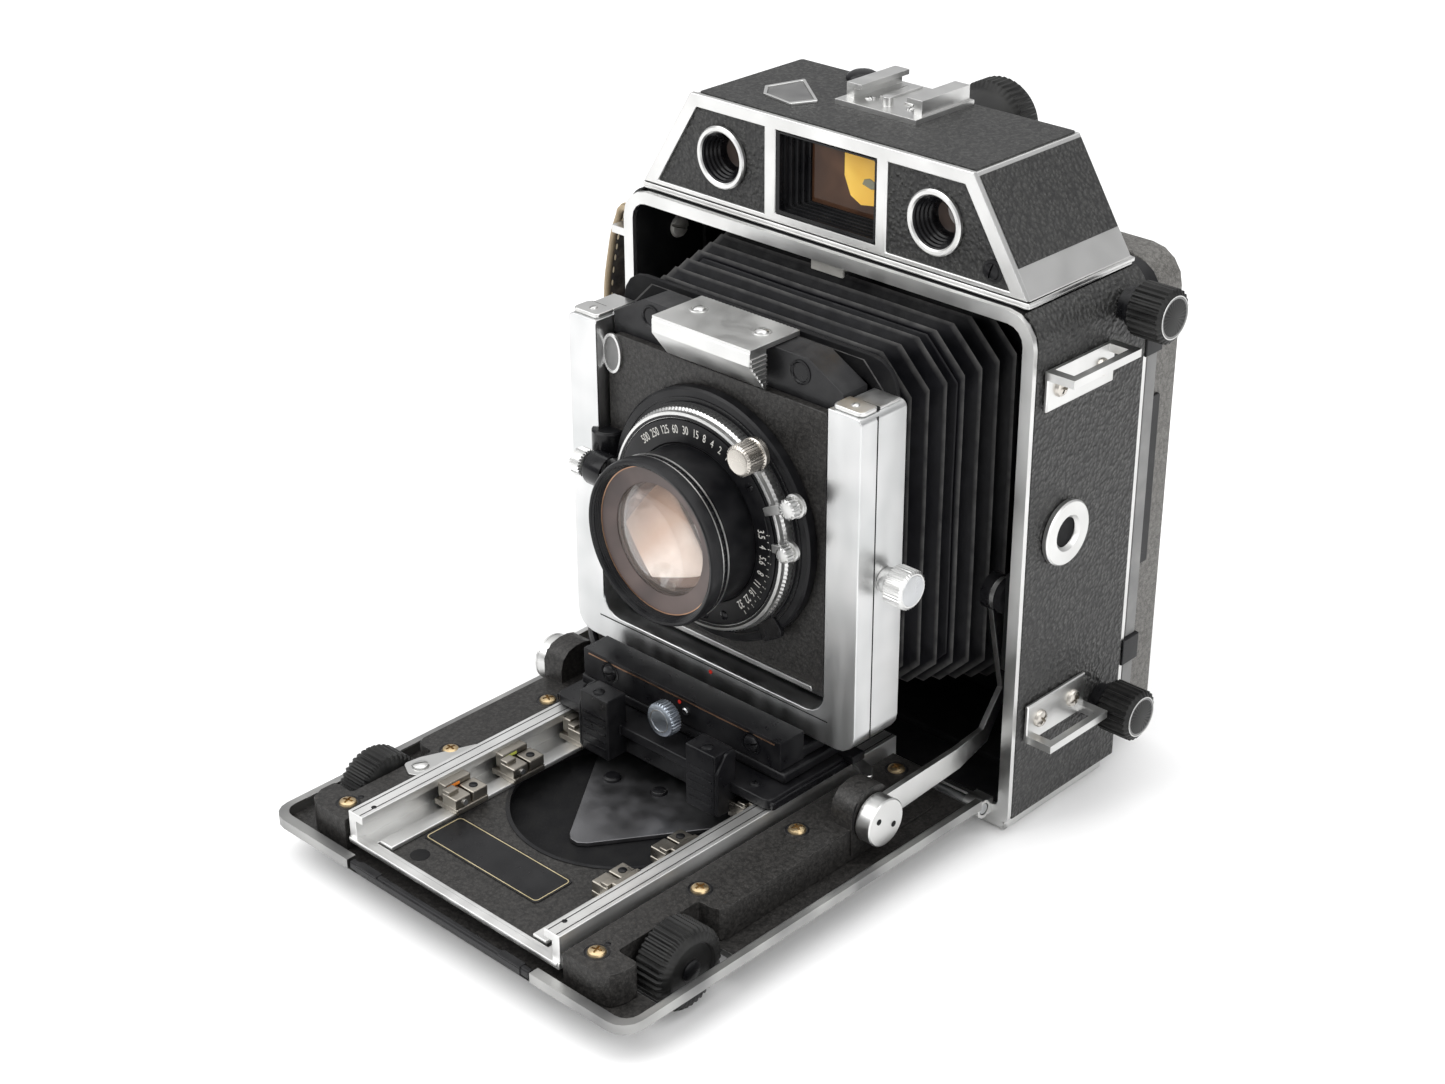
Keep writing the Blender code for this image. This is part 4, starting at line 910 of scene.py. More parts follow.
def dress_focusing():
    """Rails and platform with their stops, name plate, scale and cam."""
    body = "focus_platform"
    refine("focusing_rails", RAIL, 0.25)
    refine("platform_plate", HAMMERTONE, 0.25)
    refine("rangefinder_cam", CAM_STEEL, 0.2)
    for side, label in SIDES:
        stops = ((-127.4, ORANGE), (-107.2, LIME), (-82.6, None)) if side < 0 else ((-127.7, None),
            (-107.2, None), (-78.6, BLUE))
        for index, (y, mark) in enumerate(stops):
            stop_block("stop_%s_%d" % (label, index), side, y, mark)
        block("stop_bar_" + label, (side * 26.6, side * 31.4), (-154.0, -72.0), (14.8, 16.1), RAIL, body,
            0.3)
        # Grooves that run along each rail, and its rack's shadow.
        for x, z in ((38.3, 23.1), (35.4, 23.1)):
            block("rail_line_%s_%d" % (label, x), (side * x - 0.14, side * x + 0.14), (-156.6, -33.4),
                (z - 0.05, z + 0.04), MATT, body, 0)
        block("rail_foot_" + label, (side * 39.65, side * 40.55), (-156.0, -36.0), (13.7, 16.4), RAIL,
            body, 0.15)
        screw((side * 35.8, -151.6, 23.0), "Z", 0.8, "slot", BLACK, body, 25)
    plate("front_strip", "XY", 14.6, 15.6, [rectangle(-39.2, 39.2, -157.9, -155.6, 0.4)], RAIL, body, 0.2)
    # Blank name plate with a thin line round it.
    plate("plate_field", "XY", 14.8, 15.05, [rectangle(-26, 17, -144.2, -131.2, 1.2)], BLACK, body, 0.05)
    plate("plate_line", "XY", 15.0, 15.12,
        [rectangle(-25.5, 16.5, -143.7, -131.7, 1.2), rectangle(-25.25, 16.25, -143.45, -131.95, 1.0)],
        GOLD, body, 0)
    lathe("platform_stud", "Z", (-20.3, -149.9, 14.75), [(2.6, 0), (2.6, 0.12), (2.3, 0.2), (0, 0.2)],
        MATT, body, 40)
    # Wall of the round well and its dark floor.
    lathe("well_wall", "Z", (0, WELL_Y, 0),
        [(30.6, 14.7), (31.2, 14.9), (31.2, 15.0), (30.1, 15.0), (30.1, 14.7), (30.2, 13.7),
        (30.6, 13.7)], BLACK, body, 96, True)
    lathe("well_floor", "Z", (0, WELL_Y, BED_FLOOR), [(33.5, 0), (33.5, 0.12), (0, 0.12)], MATT, "bed",
        96)
    lathe("well_ring", "Z", (0, WELL_Y, BED_FLOOR), [(33.5, 0), (33.5, 2.7), (32.6, 2.7), (32.6, 0)],
        BLACK, "bed", 96, True)
    # Cam: raised pivot screw and guide pins.
    screw((0, -84, 11.7), "Z", 2.3, "slot", BLACK, "cam", 30)
    for x, y, r in ((-13.9, -87.9, 2.4), (9.8, -80.4, 1.3)):
        lathe("cam_pin_%d" % (x * 10 + 200), "Z", (x, y, 11.5),
            [(r, 0), (r, 0.8), (r * 0.8, 1.2), (0, 1.2)], BLACK, "cam", 32)
    # Distance scale at the left, with its slotted screw, and the pointer on the platform.
    outline = rounded([(-41.6, -110.2, 0.4), (-41.6, -130.6, 0.4), (-45.4, -132.4, 1.4),
        (-50.2, -130.0, 1.6), (-49.4, -125.0, 1.2), (-43.4, -110.2, 0.4)], 3)
    plate("index_plate", "XY", 19.6, 20.15, [outline], CHROME, "bed", 0.12)
    screw((-46.0, -127.7, 20.1), "Z", 2.5, "slot", CHROME, "bed", 60)
    for index, y in enumerate((-112.5, -114.6, -117.0, -119.8, -123.0)):
        block("index_mark_%d" % index, (-43.0, -41.7), (y - 0.1, y + 0.1), (20.1, 20.2), BLACK, "bed", 0)
    plate("pointer", "XY", 22.2, 22.7, [[(-40.6, -121.6), (-39.2, -122.6), (-39.2, -118.6),
        (-40.6, -119.6)]], CHROME, body, 0.08)


def dress_standard():
    """Carriage, movements, chrome frame, lens frame, board and latch."""
    refine("carriage", BLACK, 0.4)
    refine("shift_base", BLACK, 0.35)
    refine("swing_base", BLACK, 0.35)
    refine("standard_frame", CHROME_UPRIGHT, 1.1, 4)
    # The lens frame's lighter black is a painted sheen.
    refine("lens_frame", PAINTED_SHEEN_BLACK, 0.5, 3)
    refine("lens_board", HAMMERTONE, 0.35)
    refine("board_latch", CHROME, 0.3)
    # Thumbscrew with a blued domed face and a knurled edge.
    screw_head = lathe("thumbscrew_head", "-Y", THUMBSCREW,
        [(0, -2.2), (3.6, -2.2), (4.9, -1.4), (4.9, 1.4), (4.5, 1.9), (3.8, 2.1), (0, 2.1)], BLUED,
        "carriage_thumbscrew", 4 * 32, ribs=(2, 3, 0.3))
    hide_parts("carriage_thumbscrew")
    lathe("thumbscrew_ring", "-Y", THUMBSCREW, [(3.3, 2.05), (3.3, 2.2), (3.0, 2.2), (3.0, 2.05)], CHROME,
        "carriage_thumbscrew", 64, True)
    lathe("thumbscrew_shank", "-Y", THUMBSCREW, [(1.6, -2.6), (1.6, -2.1)], STEEL, "carriage_thumbscrew",
        24)
    for side, label in SIDES:
        # Clamp jaws on the carriage: shaped nose, groove and screw.
        outline = rounded([(-88.4, 17.2, 1), (-88.4, 30.6, 3), (-85.0, 35.2, 2), (-81.6, 35.2, 0.6),
            (-81.6, 17.2, 0.4)], 3)
        plate("jaw_cheek_" + label, "YZ", *sorted((side * 25.0, side * 26.0)), [outline], BLACK,
            "carriage", 0.25)
        for step in range(5):
            block("jaw_groove_%s_%d" % (label, step), (side * 15.5, side * 24.0), (-88.65, -88.45),
                (19.4 + 2.4 * step, 20.2 + 2.4 * step), GLOSS, "carriage", 0.05)
        screw((side * 20.2, -86.0, 35.35), "Z", 1.7, "slot", BLACK, "carriage", 50)
        screw((side * 31.5, -80.2, 26.4), "Z", 1.5, "cross", BLACK, "carriage", 30)
        block("carriage_shoe_" + label, (side * 34.0, side * 40.6), (-83.0, -51.0), (23.3, 25.6), GLOSS,
            "carriage", 0.4)
        # Movement bases: screws in the nose, scale line and red index.
        lathe("nose_recess_" + label, "-Y", (side * NOSE_X, NOSE_Y + 0.05, NOSE_Z),
            [(3.2, 0.0), (3.2, 0.2), (2.7, 0.2), (2.6, 0)], GLOSS, "swing_base", 40)
        screw((side * NOSE_X, NOSE_Y, NOSE_Z), "-Y", 2.4, "slot", BLACK, "swing_base", 20)
        block("tilt_clip_" + label, (side * 35.0, side * 38.4), (-57.8, -50.0), (30.2, 38.0), BLACK,
            "swing_base", 0.5)
        lathe("tilt_boss_" + label, OUTWARD[side], (side * 38.3, -55.6, 34.4),
            [(3.4, 0), (3.4, 1.1), (2.8, 1.5), (0, 1.5)], STEEL, "swing_base", 40)
        # Chrome frame: seams, corner screws and top clips.
        block("frame_seam_%s" % label, (side * 51.05, side * 51.15), (-58.15, -57.75), (38, 129.2), MATT,
            "standard", 0)
        block("frame_inner_seam_%s" % label, (side * 40.35, side * 40.45), (-64.3, -64.05), (48, 129.2),
            MATT, "standard", 0)
        outline = rounded([(side * 41.0, -63.2, 1.2), (side * 50.4, -63.2, 1.6),
            (side * 50.4, -56.8, 1.2), (side * 41.0, -56.8, 0.8)], 3)
        plate("column_clip_" + label, "XY", 130.1, 131.3, [outline], CHROME, "standard", 0.3)
        block("column_step_" + label, (side * 42.0, side * 50.0), (-56.2, -48.2), (129.9, 130.7), CHROME,
            "standard", 0.3)
        block("column_slot_" + label, (side * 44.6, side * 50.2), (-57.0, -56.1), (130.0, 130.9), MATT,
            "standard", 0.1)
        screw((side * 45.6, -60.0, 131.2), "Z", 1.2, "slot", CHROME, "standard", 80)
        # Lens frame: round ears and edge steps.
        lathe("ear_rim_" + label, "-Y", (side * EAR_X, -58.0, EAR_Z),
            [(3.3, 0), (3.3, 0.25), (2.7, 0.35), (2.4, 0.1), (2.4, -3)], GLOSS, "lens_panel", 40)
        lathe("ear_pit_" + label, "-Y", (side * EAR_X, -53.8, EAR_Z), [(2.4, 0), (0, -0.8)], MATT,
            "lens_panel", 32)
        sweep("frame_edge_" + label, [(side * 39.2, -58.6, z) for z in (52, 90, 126)], 0.28, GLOSS,
            "lens_panel")
    block("nose_scale", (-34.5, 34.5), (-76.15, -75.95), (37.4, 37.7), COPPER, "swing_base", 0)
    for name, body, y, z in (("index_dot_upper", "standard", -64.35, 40.6),
            ("index_dot_lower", "swing_base", -76.2, 36.5)):
        lathe(name, "-Y", (0.4, y, z), [(0.55, -0.1), (0.55, 0.06), (0, 0.1)], RED, body, 20)
    lathe("index_pin", "-Y", (2.6, -76.1, 34.4), [(1.1, -0.2), (1.1, 0.3), (0.8, 0.6), (0, 0.6)], STEEL,
        "swing_base", 28)
    block("foot_seam", (-42, 42), (-64.32, -64.1), (42.05, 42.3), MATT, "standard", 0)
    # Rise knob: knurled edge, chamfered face.
    knob = ridged("rise_knob_head", "X", (57.4, RISE_KNOB_Y, RISE_KNOB_Z), 5.3, 6.0, 34, 0.28, CHROME,
        "rise_knob", 0.5)
    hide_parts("rise_knob")
    lathe("rise_knob_collar", "X", (53.6, RISE_KNOB_Y, RISE_KNOB_Z),
        [(0, -2.4), (3.2, -2.4), (3.6, -1.0), (3.6, 0.9), (0, 0.9)], CHROME, "rise_knob", 48)
    lathe("rise_knob_face", "X", (60.3, RISE_KNOB_Y, RISE_KNOB_Z),
        [(4.2, 0), (4.0, 0.2), (3.6, 0.1), (0, 0.16)], STEEL, "rise_knob", 48)
    # Shift clamp at the right and the bent black swing lever at the left.
    outline = rounded([(42.0, -50.5, 1), (47.0, -51.8, 1), (50.4, -55.4, 1.2), (48.4, -57.4, 1),
        (45.2, -55.2, 1), (42.0, -54.4, 1)], 3)
    plate("shift_lever", "XY", 24.2, 25.4, [outline], CHROME, "carriage", 0.3)
    block("shift_lever_root", (37.6, 43.0), (-55.0, -50.0), (25.2, 27.6), BLACK, "carriage", 0.4)
    arc = [(-40.5 - 9.5 * math.sin(math.radians(a)), -66.0 + 0.08 * a,
        31.0 + 7.0 * (1 - math.cos(math.radians(a)))) for a in range(0, 121, 10)]
    sweep("swing_lever", arc, 1.35, GLOSS, "shift_base")
    block("swing_lever_root", (-41.5, -36.0), (-68.2, -64.6), (28.4, 32.0), BLACK, "shift_base", 0.5)
    # Board latch: screws and serrated grip edges.
    for x in (-10.8, 11.2):
        lathe("latch_washer_%d" % (x > 0), "Z", (x, LATCH_SCREW_Y, LATCH_TOP - 0.05),
            [(2.6, 0), (2.5, 0.18), (2.1, 0.2), (2.1, 0)], CHROME, "board_latch", 40)
        screw((x, LATCH_SCREW_Y, LATCH_TOP), "Z", 1.9, "slot", CHROME, "board_latch", 40 - 3 * x)
    for index in range(26):
        x = -15.6 + index * 1.24
        block("latch_rear_tooth_%02d" % index, (x, x + 0.62), (-49.0, -48.2), (137.7, 139.0), CHROME,
            "board_latch", 0)
    for index in range(7):
        z = 128.6 + index * 1.25
        y = -61.9 - (z - 127.4) * 0.72
        block("latch_side_tooth_%d" % index, (17.3, 17.75), (max(y, -66.8), -61.2), (z, z + 0.62), CHROME,
            "board_latch", 0)
    block("latch_fold", (-16.4, 17.2), (-67.25, -66.7), (134.8, 138.2), CHROME, "board_latch", 0.2)
    plate("board_strip", "XZ", -61.5, BOARD_FRONT, [rectangle(-17, 34, 47.0, 48.4, 0.5)], CHROME,
        "lens_panel", 0.15)
    # Levelling oval beside the board.
    turns = [t / 20 * math.pi for t in range(40)]
    outer, inner = ([(OVAL_X + wide * math.cos(turn), OVAL_Z + high * math.sin(turn)) for turn in turns]
        for wide, high in ((3.4, 5.6), (2.7, 4.8)))
    plate("oval_rim", "XZ", -61.6, BOARD_FRONT, [outer, inner], CHROME, "lens_panel", 0.12)
    plate("oval_field", "XZ", -61.2, BOARD_FRONT, [inner], GREY, "lens_panel", 0)


def on_circle(radius, degrees, y):
    """A point round the lens axis, anticlockwise from +X."""
    turn = math.radians(degrees)
    return (radius * math.cos(turn), y, LENS_Z + radius * math.sin(turn))


def arc_place(radius, degrees, y):
    """A matrix for lettering on a face that looks along -Y, its top away from the lens axis."""
    lean = Matrix.Rotation(math.pi / 2 - math.radians(degrees), 4, "Y")
    return Matrix.Translation(Vector(on_circle(radius, degrees, y)) * MM) @ lean @ PLANE_TURN["XZ"]


def dress_lens():
    """Shutter with its scales and levers, speed ring, barrel, and the coated lens."""
    body = "lens_panel"
    axis = (0, 0, LENS_Z)
    profile = [(15.0, 54.0), (19.8, 54.0), (19.8, 61.1), (35.0, 61.1), (35.0, 63.6), (34.4, 64.2),
        (31.4, 64.4), (31.4, 65.0), (28.0, 65.2), (28.0, 69.2), (26.9, 69.45), (22.0, 69.45),
        (21.6, 69.1), (15.0, 69.1)]
    case = lathe("shutter_case", "-Y", axis, profile, SATIN, body, 144, True)
    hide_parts("shutter")
    # Lower tab and outer step lines of the mounting flange.
    lathe("flange_line", "-Y", axis, [(32.6, 64.3), (32.6, 64.6), (32.2, 64.6), (32.2, 64.3)], GLOSS,
        body, 144, True)
    tab = rounded([(18.0, 62.4, 1), (23.4, 66.8, 1), (27.6, 62.2, 2), (20.4, 57.8, 1)], 4)
    plate("flange_tab", "XZ", -65.2, -63.6, [tab], GLOSS, body, 0.3)
    # Speed ring: finely notched chrome edge with a plain lip.
    profile = [(28.3, 64.9), (30.6, 64.9), (30.7, 65.2), (30.7, 67.0), (30.0, 67.6), (29.9, 68.8),
        (29.0, 69.0), (28.3, 69.0)]
    ring = lathe("speed_ring_edge", "-Y", axis, profile, CHROME, "speed_ring", 4 * 150, True,
        ribs=(1, 3, 0.2))
    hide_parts("speed_ring")
    lathe("speed_ring_inlay", "-Y", axis, [(28.4, 68.9), (29.1, 68.95), (29.1, 69.1), (28.4, 69.15)],
        BLACK, "speed_ring", 144, True)
    grip = (22.3, -73.2, LENS_Z + 27.3)
    ridged("speed_grip", "-Y", grip, 4.15, 7.0, 30, 0.24, NICKEL, "speed_ring", 0.4)
    lathe("speed_grip_face", "-Y", (grip[0], -76.7, grip[2]),
        [(3.5, -0.1), (3.3, 0.1), (2.9, 0.02), (0, 0.02)], NICKEL, "speed_ring", 48)
    lathe("speed_grip_collar", "-Y", grip, [(4.4, -3.4), (4.4, -2.2), (3.9, -1.8)], NICKEL, "speed_ring",
        48)
    grip_foot = rounded([(17.5, 108.5, 1), (22.6, 109.5, 1), (25.4, 112.5, 2), (22.0, 117.6, 2),
        (17.0, 113.5, 1)], 3)
    plate("speed_grip_foot", "XZ", -70.1, -69.2, [grip_foot], SATIN, "speed_ring", 0.2)

    # Scales: numbers on the shutter's face and their ticks.
    speeds = (("500", 132.5), ("250", 123.0), ("125", 113.6), ("60", 104.8), ("30", 96.4), ("15", 88.0),
        ("8", 81.2), ("4", 75.0), ("2", 68.6), ("1", 62.4))
    words = [(text, 2.35, arc_place(25.4, angle, NUMERAL_Y)) for text, angle in speeds]
    lettering("speed_numbers", words, WHITE, body)
    stops = (("3.5", 12.0), ("4", 3.6), ("5.6", -5.4), ("8", -14.8), ("11", -23.2), ("16", -31.2),
        ("22", -39.0), ("32", -47.0))
    words = [(text, 2.3, arc_place(24.0, angle, NUMERAL_Y)) for text, angle in stops]
    lettering("stop_numbers", words, WHITE, body)
    shape = bmesh.new()
    for index in range(15):
        angle = math.radians(12.0 - index * 4.22)
        near, far, half = 25.9, 27.0 if index % 2 == 0 else 26.6, 0.09
        corners = []
        for radius, across in ((near, -half), (far, -half), (far, half), (near, half)):
            corners.append((radius * math.cos(angle) - across * math.sin(angle), SHUTTER_FACE,
                LENS_Z + radius * math.sin(angle) + across * math.cos(angle)))
        shape.faces.new([shape.verts.new(Vector(corner) * MM) for corner in corners])
    place_object("stop_ticks", to_mesh(shape, "stop_ticks"), WHITE, body)
    lathe("speed_index", "-Y", on_circle(28.6, 61.5, -69.0), [(0.75, 0), (0.75, 0.25), (0, 0.35)], RED,
        "speed_ring", 24)
    for angle, reach in ((-81.8, 25.6), (-65.7, 25.4), (41.0, 25.6)):
        screw(on_circle(reach, angle, SHUTTER_FACE + 0.1), "-Y", 1.35, "slot", GLOSS, body, angle)
    sweep("stop_slot_edge", [on_circle(26.6, angle, SHUTTER_FACE) for angle in range(-44, 25, 3)], 0.12,
        SATIN, body, 8)

    # Levers, each with its notched grip, and the release side.
    for name, angle, reach, big in (("cocking_lever", 26, 39.6, 2.7), ("aperture_lever", 7, 34.4, 2.2)):
        turn = math.radians(angle)
        outline = []
        for along, across in ((28.9, -1.1), (reach, -1.4), (reach + 1.0, 0), (reach, 1.4), (28.9, 1.1)):
            outline.append((along * math.cos(turn) - across * math.sin(turn),
                LENS_Z + along * math.sin(turn) + across * math.cos(turn)))
        lever = plate(name + "_arm", "XZ", -71.3, -70.3, [outline], CHROME, name, 0.2, "satin_chrome")
        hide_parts(name)
        tip = on_circle(reach, angle, -72.2)
        ridged(name + "_grip", "-Y", tip, big, 3.0, 14, 0.28, CHROME, name, 0.35)
        lathe(name + "_collar", "-Y", tip, [(big + 0.5, -2.6), (big + 0.5, -1.7), (big - 0.2, -1.5)],
            CHROME, name, 32)
    lathe("release_housing", "-X", (-35.6, RELEASE_Y, RELEASE_Z),
        [(4.8, -4.0), (4.8, 2.0), (4.6, 2.5), (4.3, 2.5), (4.3, -4.0)], GLOSS, body, 64, True)
    plunger = ridged("release_button", "-X", (-42.2, RELEASE_Y, RELEASE_Z), 3.9, 4.2, 26, 0.3, CHROME,
        "release_plunger", 0.4)
    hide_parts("release_plunger")
    lathe("release_face", "-X", (-44.3, RELEASE_Y, RELEASE_Z),
        [(3.0, -0.1), (2.6, 0.12), (2.0, 0.05), (0, 0.1)], CHROME, "release_plunger", 48)
    profile = [(4.6, -4.6), (4.6, 1.4), (4.2, 1.9), (3.6, 1.9), (3.3, 1.2), (0, 1.2)]
    lathe("sync_socket", "Z", SYNC_SOCKET, profile, GLOSS, body, 48)
    lathe("sync_rim", "Z", SYNC_SOCKET, [(4.35, 1.9), (4.1, 2.1), (3.8, 1.95)], SATIN, body, 48)

    # Barrel: black tube, knurled rim and two bright lines in its groove.
    profile = [(15.2, 69.0), (21.2, 69.0), (21.4, 69.6), (21.4, 78.6), (20.7, 79.0), (20.7, 79.5),
        (22.2, 79.7), (22.2, 80.3), (21.6, 80.5), (21.6, 81.7), (22.3, 81.9), (22.6, 82.2), (22.6, 84.9),
        (22.3, 85.7), (21.9, 86.0), (21.3, 85.8), (20.6, 84.2), (20.3, 83.2), (19.8, 82.9), (18.7, 82.6),
        (18.5, 81.8), (15.2, 76.0)]
    barrel = lathe("barrel_tube", "-Y", axis, profile, SATIN, body, 4 * 60, True)
    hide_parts("lens_barrel")
    for index, (y, radius) in enumerate(((79.95, 22.35), (81.95, 22.5))):
        lathe("barrel_line_%d" % index, "-Y", axis,
            [(radius - 0.4, y - 0.24), (radius, y - 0.2), (radius, y + 0.2), (radius - 0.4, y + 0.24)],
            CHROME, body, 160, True)
    lathe("barrel_knurl", "-Y", axis, [(21.5, 80.5), (22.15, 80.6), (22.15, 81.65), (21.5, 81.75)], BLACK,
        body, 4 * 90, True, ribs=(1, 2, 0.35))
    thread = []
    for step in range(5):
        inset, depth = step * 0.14, step * 0.5
        thread += [(21.2 - inset, 85.6 - depth), (20.75 - inset, 85.35 - depth)]
    lathe("inner_thread", "-Y", axis, thread + [(21.4, 82.8), (21.4, 85.7)], GLOSS, body, 120, True)
    lathe("lens_annulus", "-Y", axis, [(20.2, 82.75), (20.2, 83.15), (15.4, 82.2), (15.4, 81.8)], ANNULUS,
        body, 144, True)
    lathe("annulus_line", "-Y", axis, [(20.3, 83.1), (20.15, 83.3), (19.9, 83.25), (20.0, 83.0)], COPPER,
        body, 144, True)
    dome = lathe("glass_dome", "-Y", axis,
        [(15.6, 81.9), (13.6, 82.9), (11.0, 83.7), (7.5, 84.4), (4.0, 84.75), (0, 84.85)], LENS_FRONT,
        body, 96)
    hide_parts("front_glass")
    lathe("inner_element", "-Y", axis, [(15.5, 78.0), (12.5, 78.6), (8.5, 79.1), (4.0, 79.4), (0, 79.5)],
        LENS_INNER, body, 96)
    lathe("inner_ring", "-Y", axis, [(15.6, 78.1), (15.6, 79.3), (13.4, 79.7), (13.0, 79.3),
        (13.6, 78.0)], ANNULUS, body, 96, True)
    # Bright five-sided opening seen through the glass, with the blades' shade at its corner.
    corners = [on_circle(IRIS_RADIUS, angle, 0) for angle in (108, 180, 252, 324, 36)]
    outline = rounded([(x, z, 0.8) for x, _, z in corners], 4)
    plate("iris_opening", "XZ", -80.05, -79.75, [outline], IRIS_LIGHT, body, 0.05)
    lathe("rear_cell", "Y", axis, [(15.0, -54.2), (19.6, -54.2), (19.6, -47.5), (18.6, -46.8),
        (15.6, -46.8), (14.8, -48.0)], BLACK, body, 96, True)
    lathe("rear_glass", "Y", axis, [(15.2, -48.8), (10.0, -47.6), (5.0, -47.1), (0, -47.0)], LENS_FRONT,
        body, 64)
    lathe("retaining_ring", "Y", axis, [(20.2, -58.0), (24.0, -58.0), (24.0, -56.2), (20.2, -56.2)],
        BLACK, body, 96, True)


BELLOWS_REAR = 20.0
BELLOWS_FRONT = -46.7
BELLOWS_SPANS = ((BELLOWS_REAR, -0.5, "camera_body", "bed"), (-0.5, -3.5, "bed", "focus_platform"),
    (-3.5, -22.2, "focus_platform", "carriage"), (-22.2, -25.2, "carriage", "shift_base"),
    (-25.2, -33.6, "shift_base", "swing_base"), (-33.6, BELLOWS_FRONT, "swing_base", "standard"))
FOLDS = 12
RINGS_A_FOLD = 12
FOLD_DEPTH = 6.0


def bellows_ring(y):
    """Points of the bellows' outline at a depth, and how near each is to a worn fold."""
    part = (BELLOWS_REAR - y) / (BELLOWS_REAR - BELLOWS_FRONT)
    phase = part * FOLDS
    saw = abs((phase % 1.0) * 2 - 1)
    crest = saw ** 0.9
    half = 59.5 - 13.0 * part - FOLD_DEPTH * (1 - crest)
    low = 24.5 + 19.0 * part + FOLD_DEPTH * (1 - crest)
    high = 142.8 - 6.2 * part - FOLD_DEPTH * (1 - crest)
    cut = 9.5 + 3.0 * (1 - crest)
    corners = [(half - cut, low), (half, low + cut), (half, high - cut), (half - cut, high),
        (cut - half, high), (-half, high - cut), (-half, low + cut), (cut - half, low)]
    points = []
    lengths = [math.dist(corners[i], corners[(i + 1) % 8]) for i in range(8)]
    counts = (4, 20, 4, 20, 4, 20, 4, 20)
    for index in range(8):
        a, b = corners[index], corners[(index + 1) % 8]
        for step in range(counts[index]):
            share = step / counts[index]
            sag = 0.0
            if lengths[index] > 30:
                sag = 0.4 * math.sin(math.pi * share) * (1 - crest) + 0.07 * math.sin(9 * share + y * 0.9)
            x = a[0] + (b[0] - a[0]) * share
            z = a[1] + (b[1] - a[1]) * share
            length = math.hypot(x, z - LENS_Z)
            pull = 1 - sag / length
            points.append((x * pull, LENS_Z + (z - LENS_Z) * pull))
    return points, max(0.0, crest * 8.0 - 7.0)


def dress_bellows():
    """Bellows in sections, one for each span; each is baked in place and rides no body."""
    for index, (rear, front, behind, ahead) in enumerate(BELLOWS_SPANS):
        name = "bellows_%d" % index
        shape = bmesh.new()
        wear = shape.verts.layers.float.new("wear")
        stations = {rear, front}
        spacing = (BELLOWS_REAR - BELLOWS_FRONT) / FOLDS / RINGS_A_FOLD
        for step in range(FOLDS * RINGS_A_FOLD + 1):
            y = BELLOWS_REAR - step * spacing
            if front + 0.15 < y < rear - 0.15:
                stations.add(y)
        rings = []
        for y in sorted(stations, reverse=True):
            points, worn = bellows_ring(y)
            ring = []
            for x, z in points:
                vertex = shape.verts.new((x * MM, y * MM, z * MM))
                vertex[wear] = worn
                ring.append(vertex)
            rings.append(ring)
        for back, ahead_ring in zip(rings, rings[1:]):
            for side in range(len(back)):
                after = (side + 1) % len(back)
                shape.faces.new((back[side], back[after], ahead_ring[after], ahead_ring[side]))
        mesh = to_mesh(shape, name, math.radians(24))
        made = place_object(name, mesh, BELLOWS, None)
        thickness = made.modifiers.new("cloth", "SOLIDIFY")
        thickness.thickness = 0.35 * MM
        thickness.offset = -1.0
        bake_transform(made)
    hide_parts("bellows")
    # Frames that hold the bellows' two ends.
    plate("bellows_rear_frame", "XZ", 18.6, 20.4,
        [rectangle(-62, 62, 20, 145.2, 4), rectangle(-55, 55, 28, 139, 6)], MATT, "camera_body", 0.3)
    plate("bellows_front_frame", "XZ", -46.9, -45.4,
        [rectangle(-47.5, 47.5, 43.4, 138.2, 8), rectangle(-41, 41, 49, 131.5, 6)], MATT, "standard", 0.3)


def strap_path():
    """Middle line of the hand strap in X and Z, round both bracket bars on the left."""
    bow = [(-83.6, 134.0), (-86.2, 124.0), (-88.2, 110.0), (-89.4, 95.0), (-89.6, 84.0), (-89.2, 72.0),
        (-87.8, 58.0), (-85.6, 45.0), (-83.2, 32.5)]
    upper = [(-75.6, 112.0), (-75.4, 122.0), (-75.5, 131.0), (-76.6, 136.6), (-79.4, 138.4),
        (-82.2, 137.4)]
    lower = [(-81.8, 26.6), (-79.0, 24.6), (-76.4, 26.4), (-75.4, 32.0), (-75.2, 42.0), (-75.4, 54.0)]
    return upper + bow + lower


def smooth_path(points, steps):
    """Catmull-Rom curve through points."""
    found = []
    padded = [points[0]] + list(points) + [points[-1]]
    for before, a, b, after in zip(padded, padded[1:], padded[2:], padded[3:]):
        for step in range(steps):
            t = step / steps
            found.append(tuple(0.5 * (2 * a[i] + (b[i] - before[i]) * t
                + (2 * before[i] - 5 * a[i] + 4 * b[i] - after[i]) * t * t
                + (3 * a[i] - before[i] - 3 * b[i] + after[i]) * t ** 3) for i in range(len(a))))
    found.append(tuple(points[-1]))
    return found


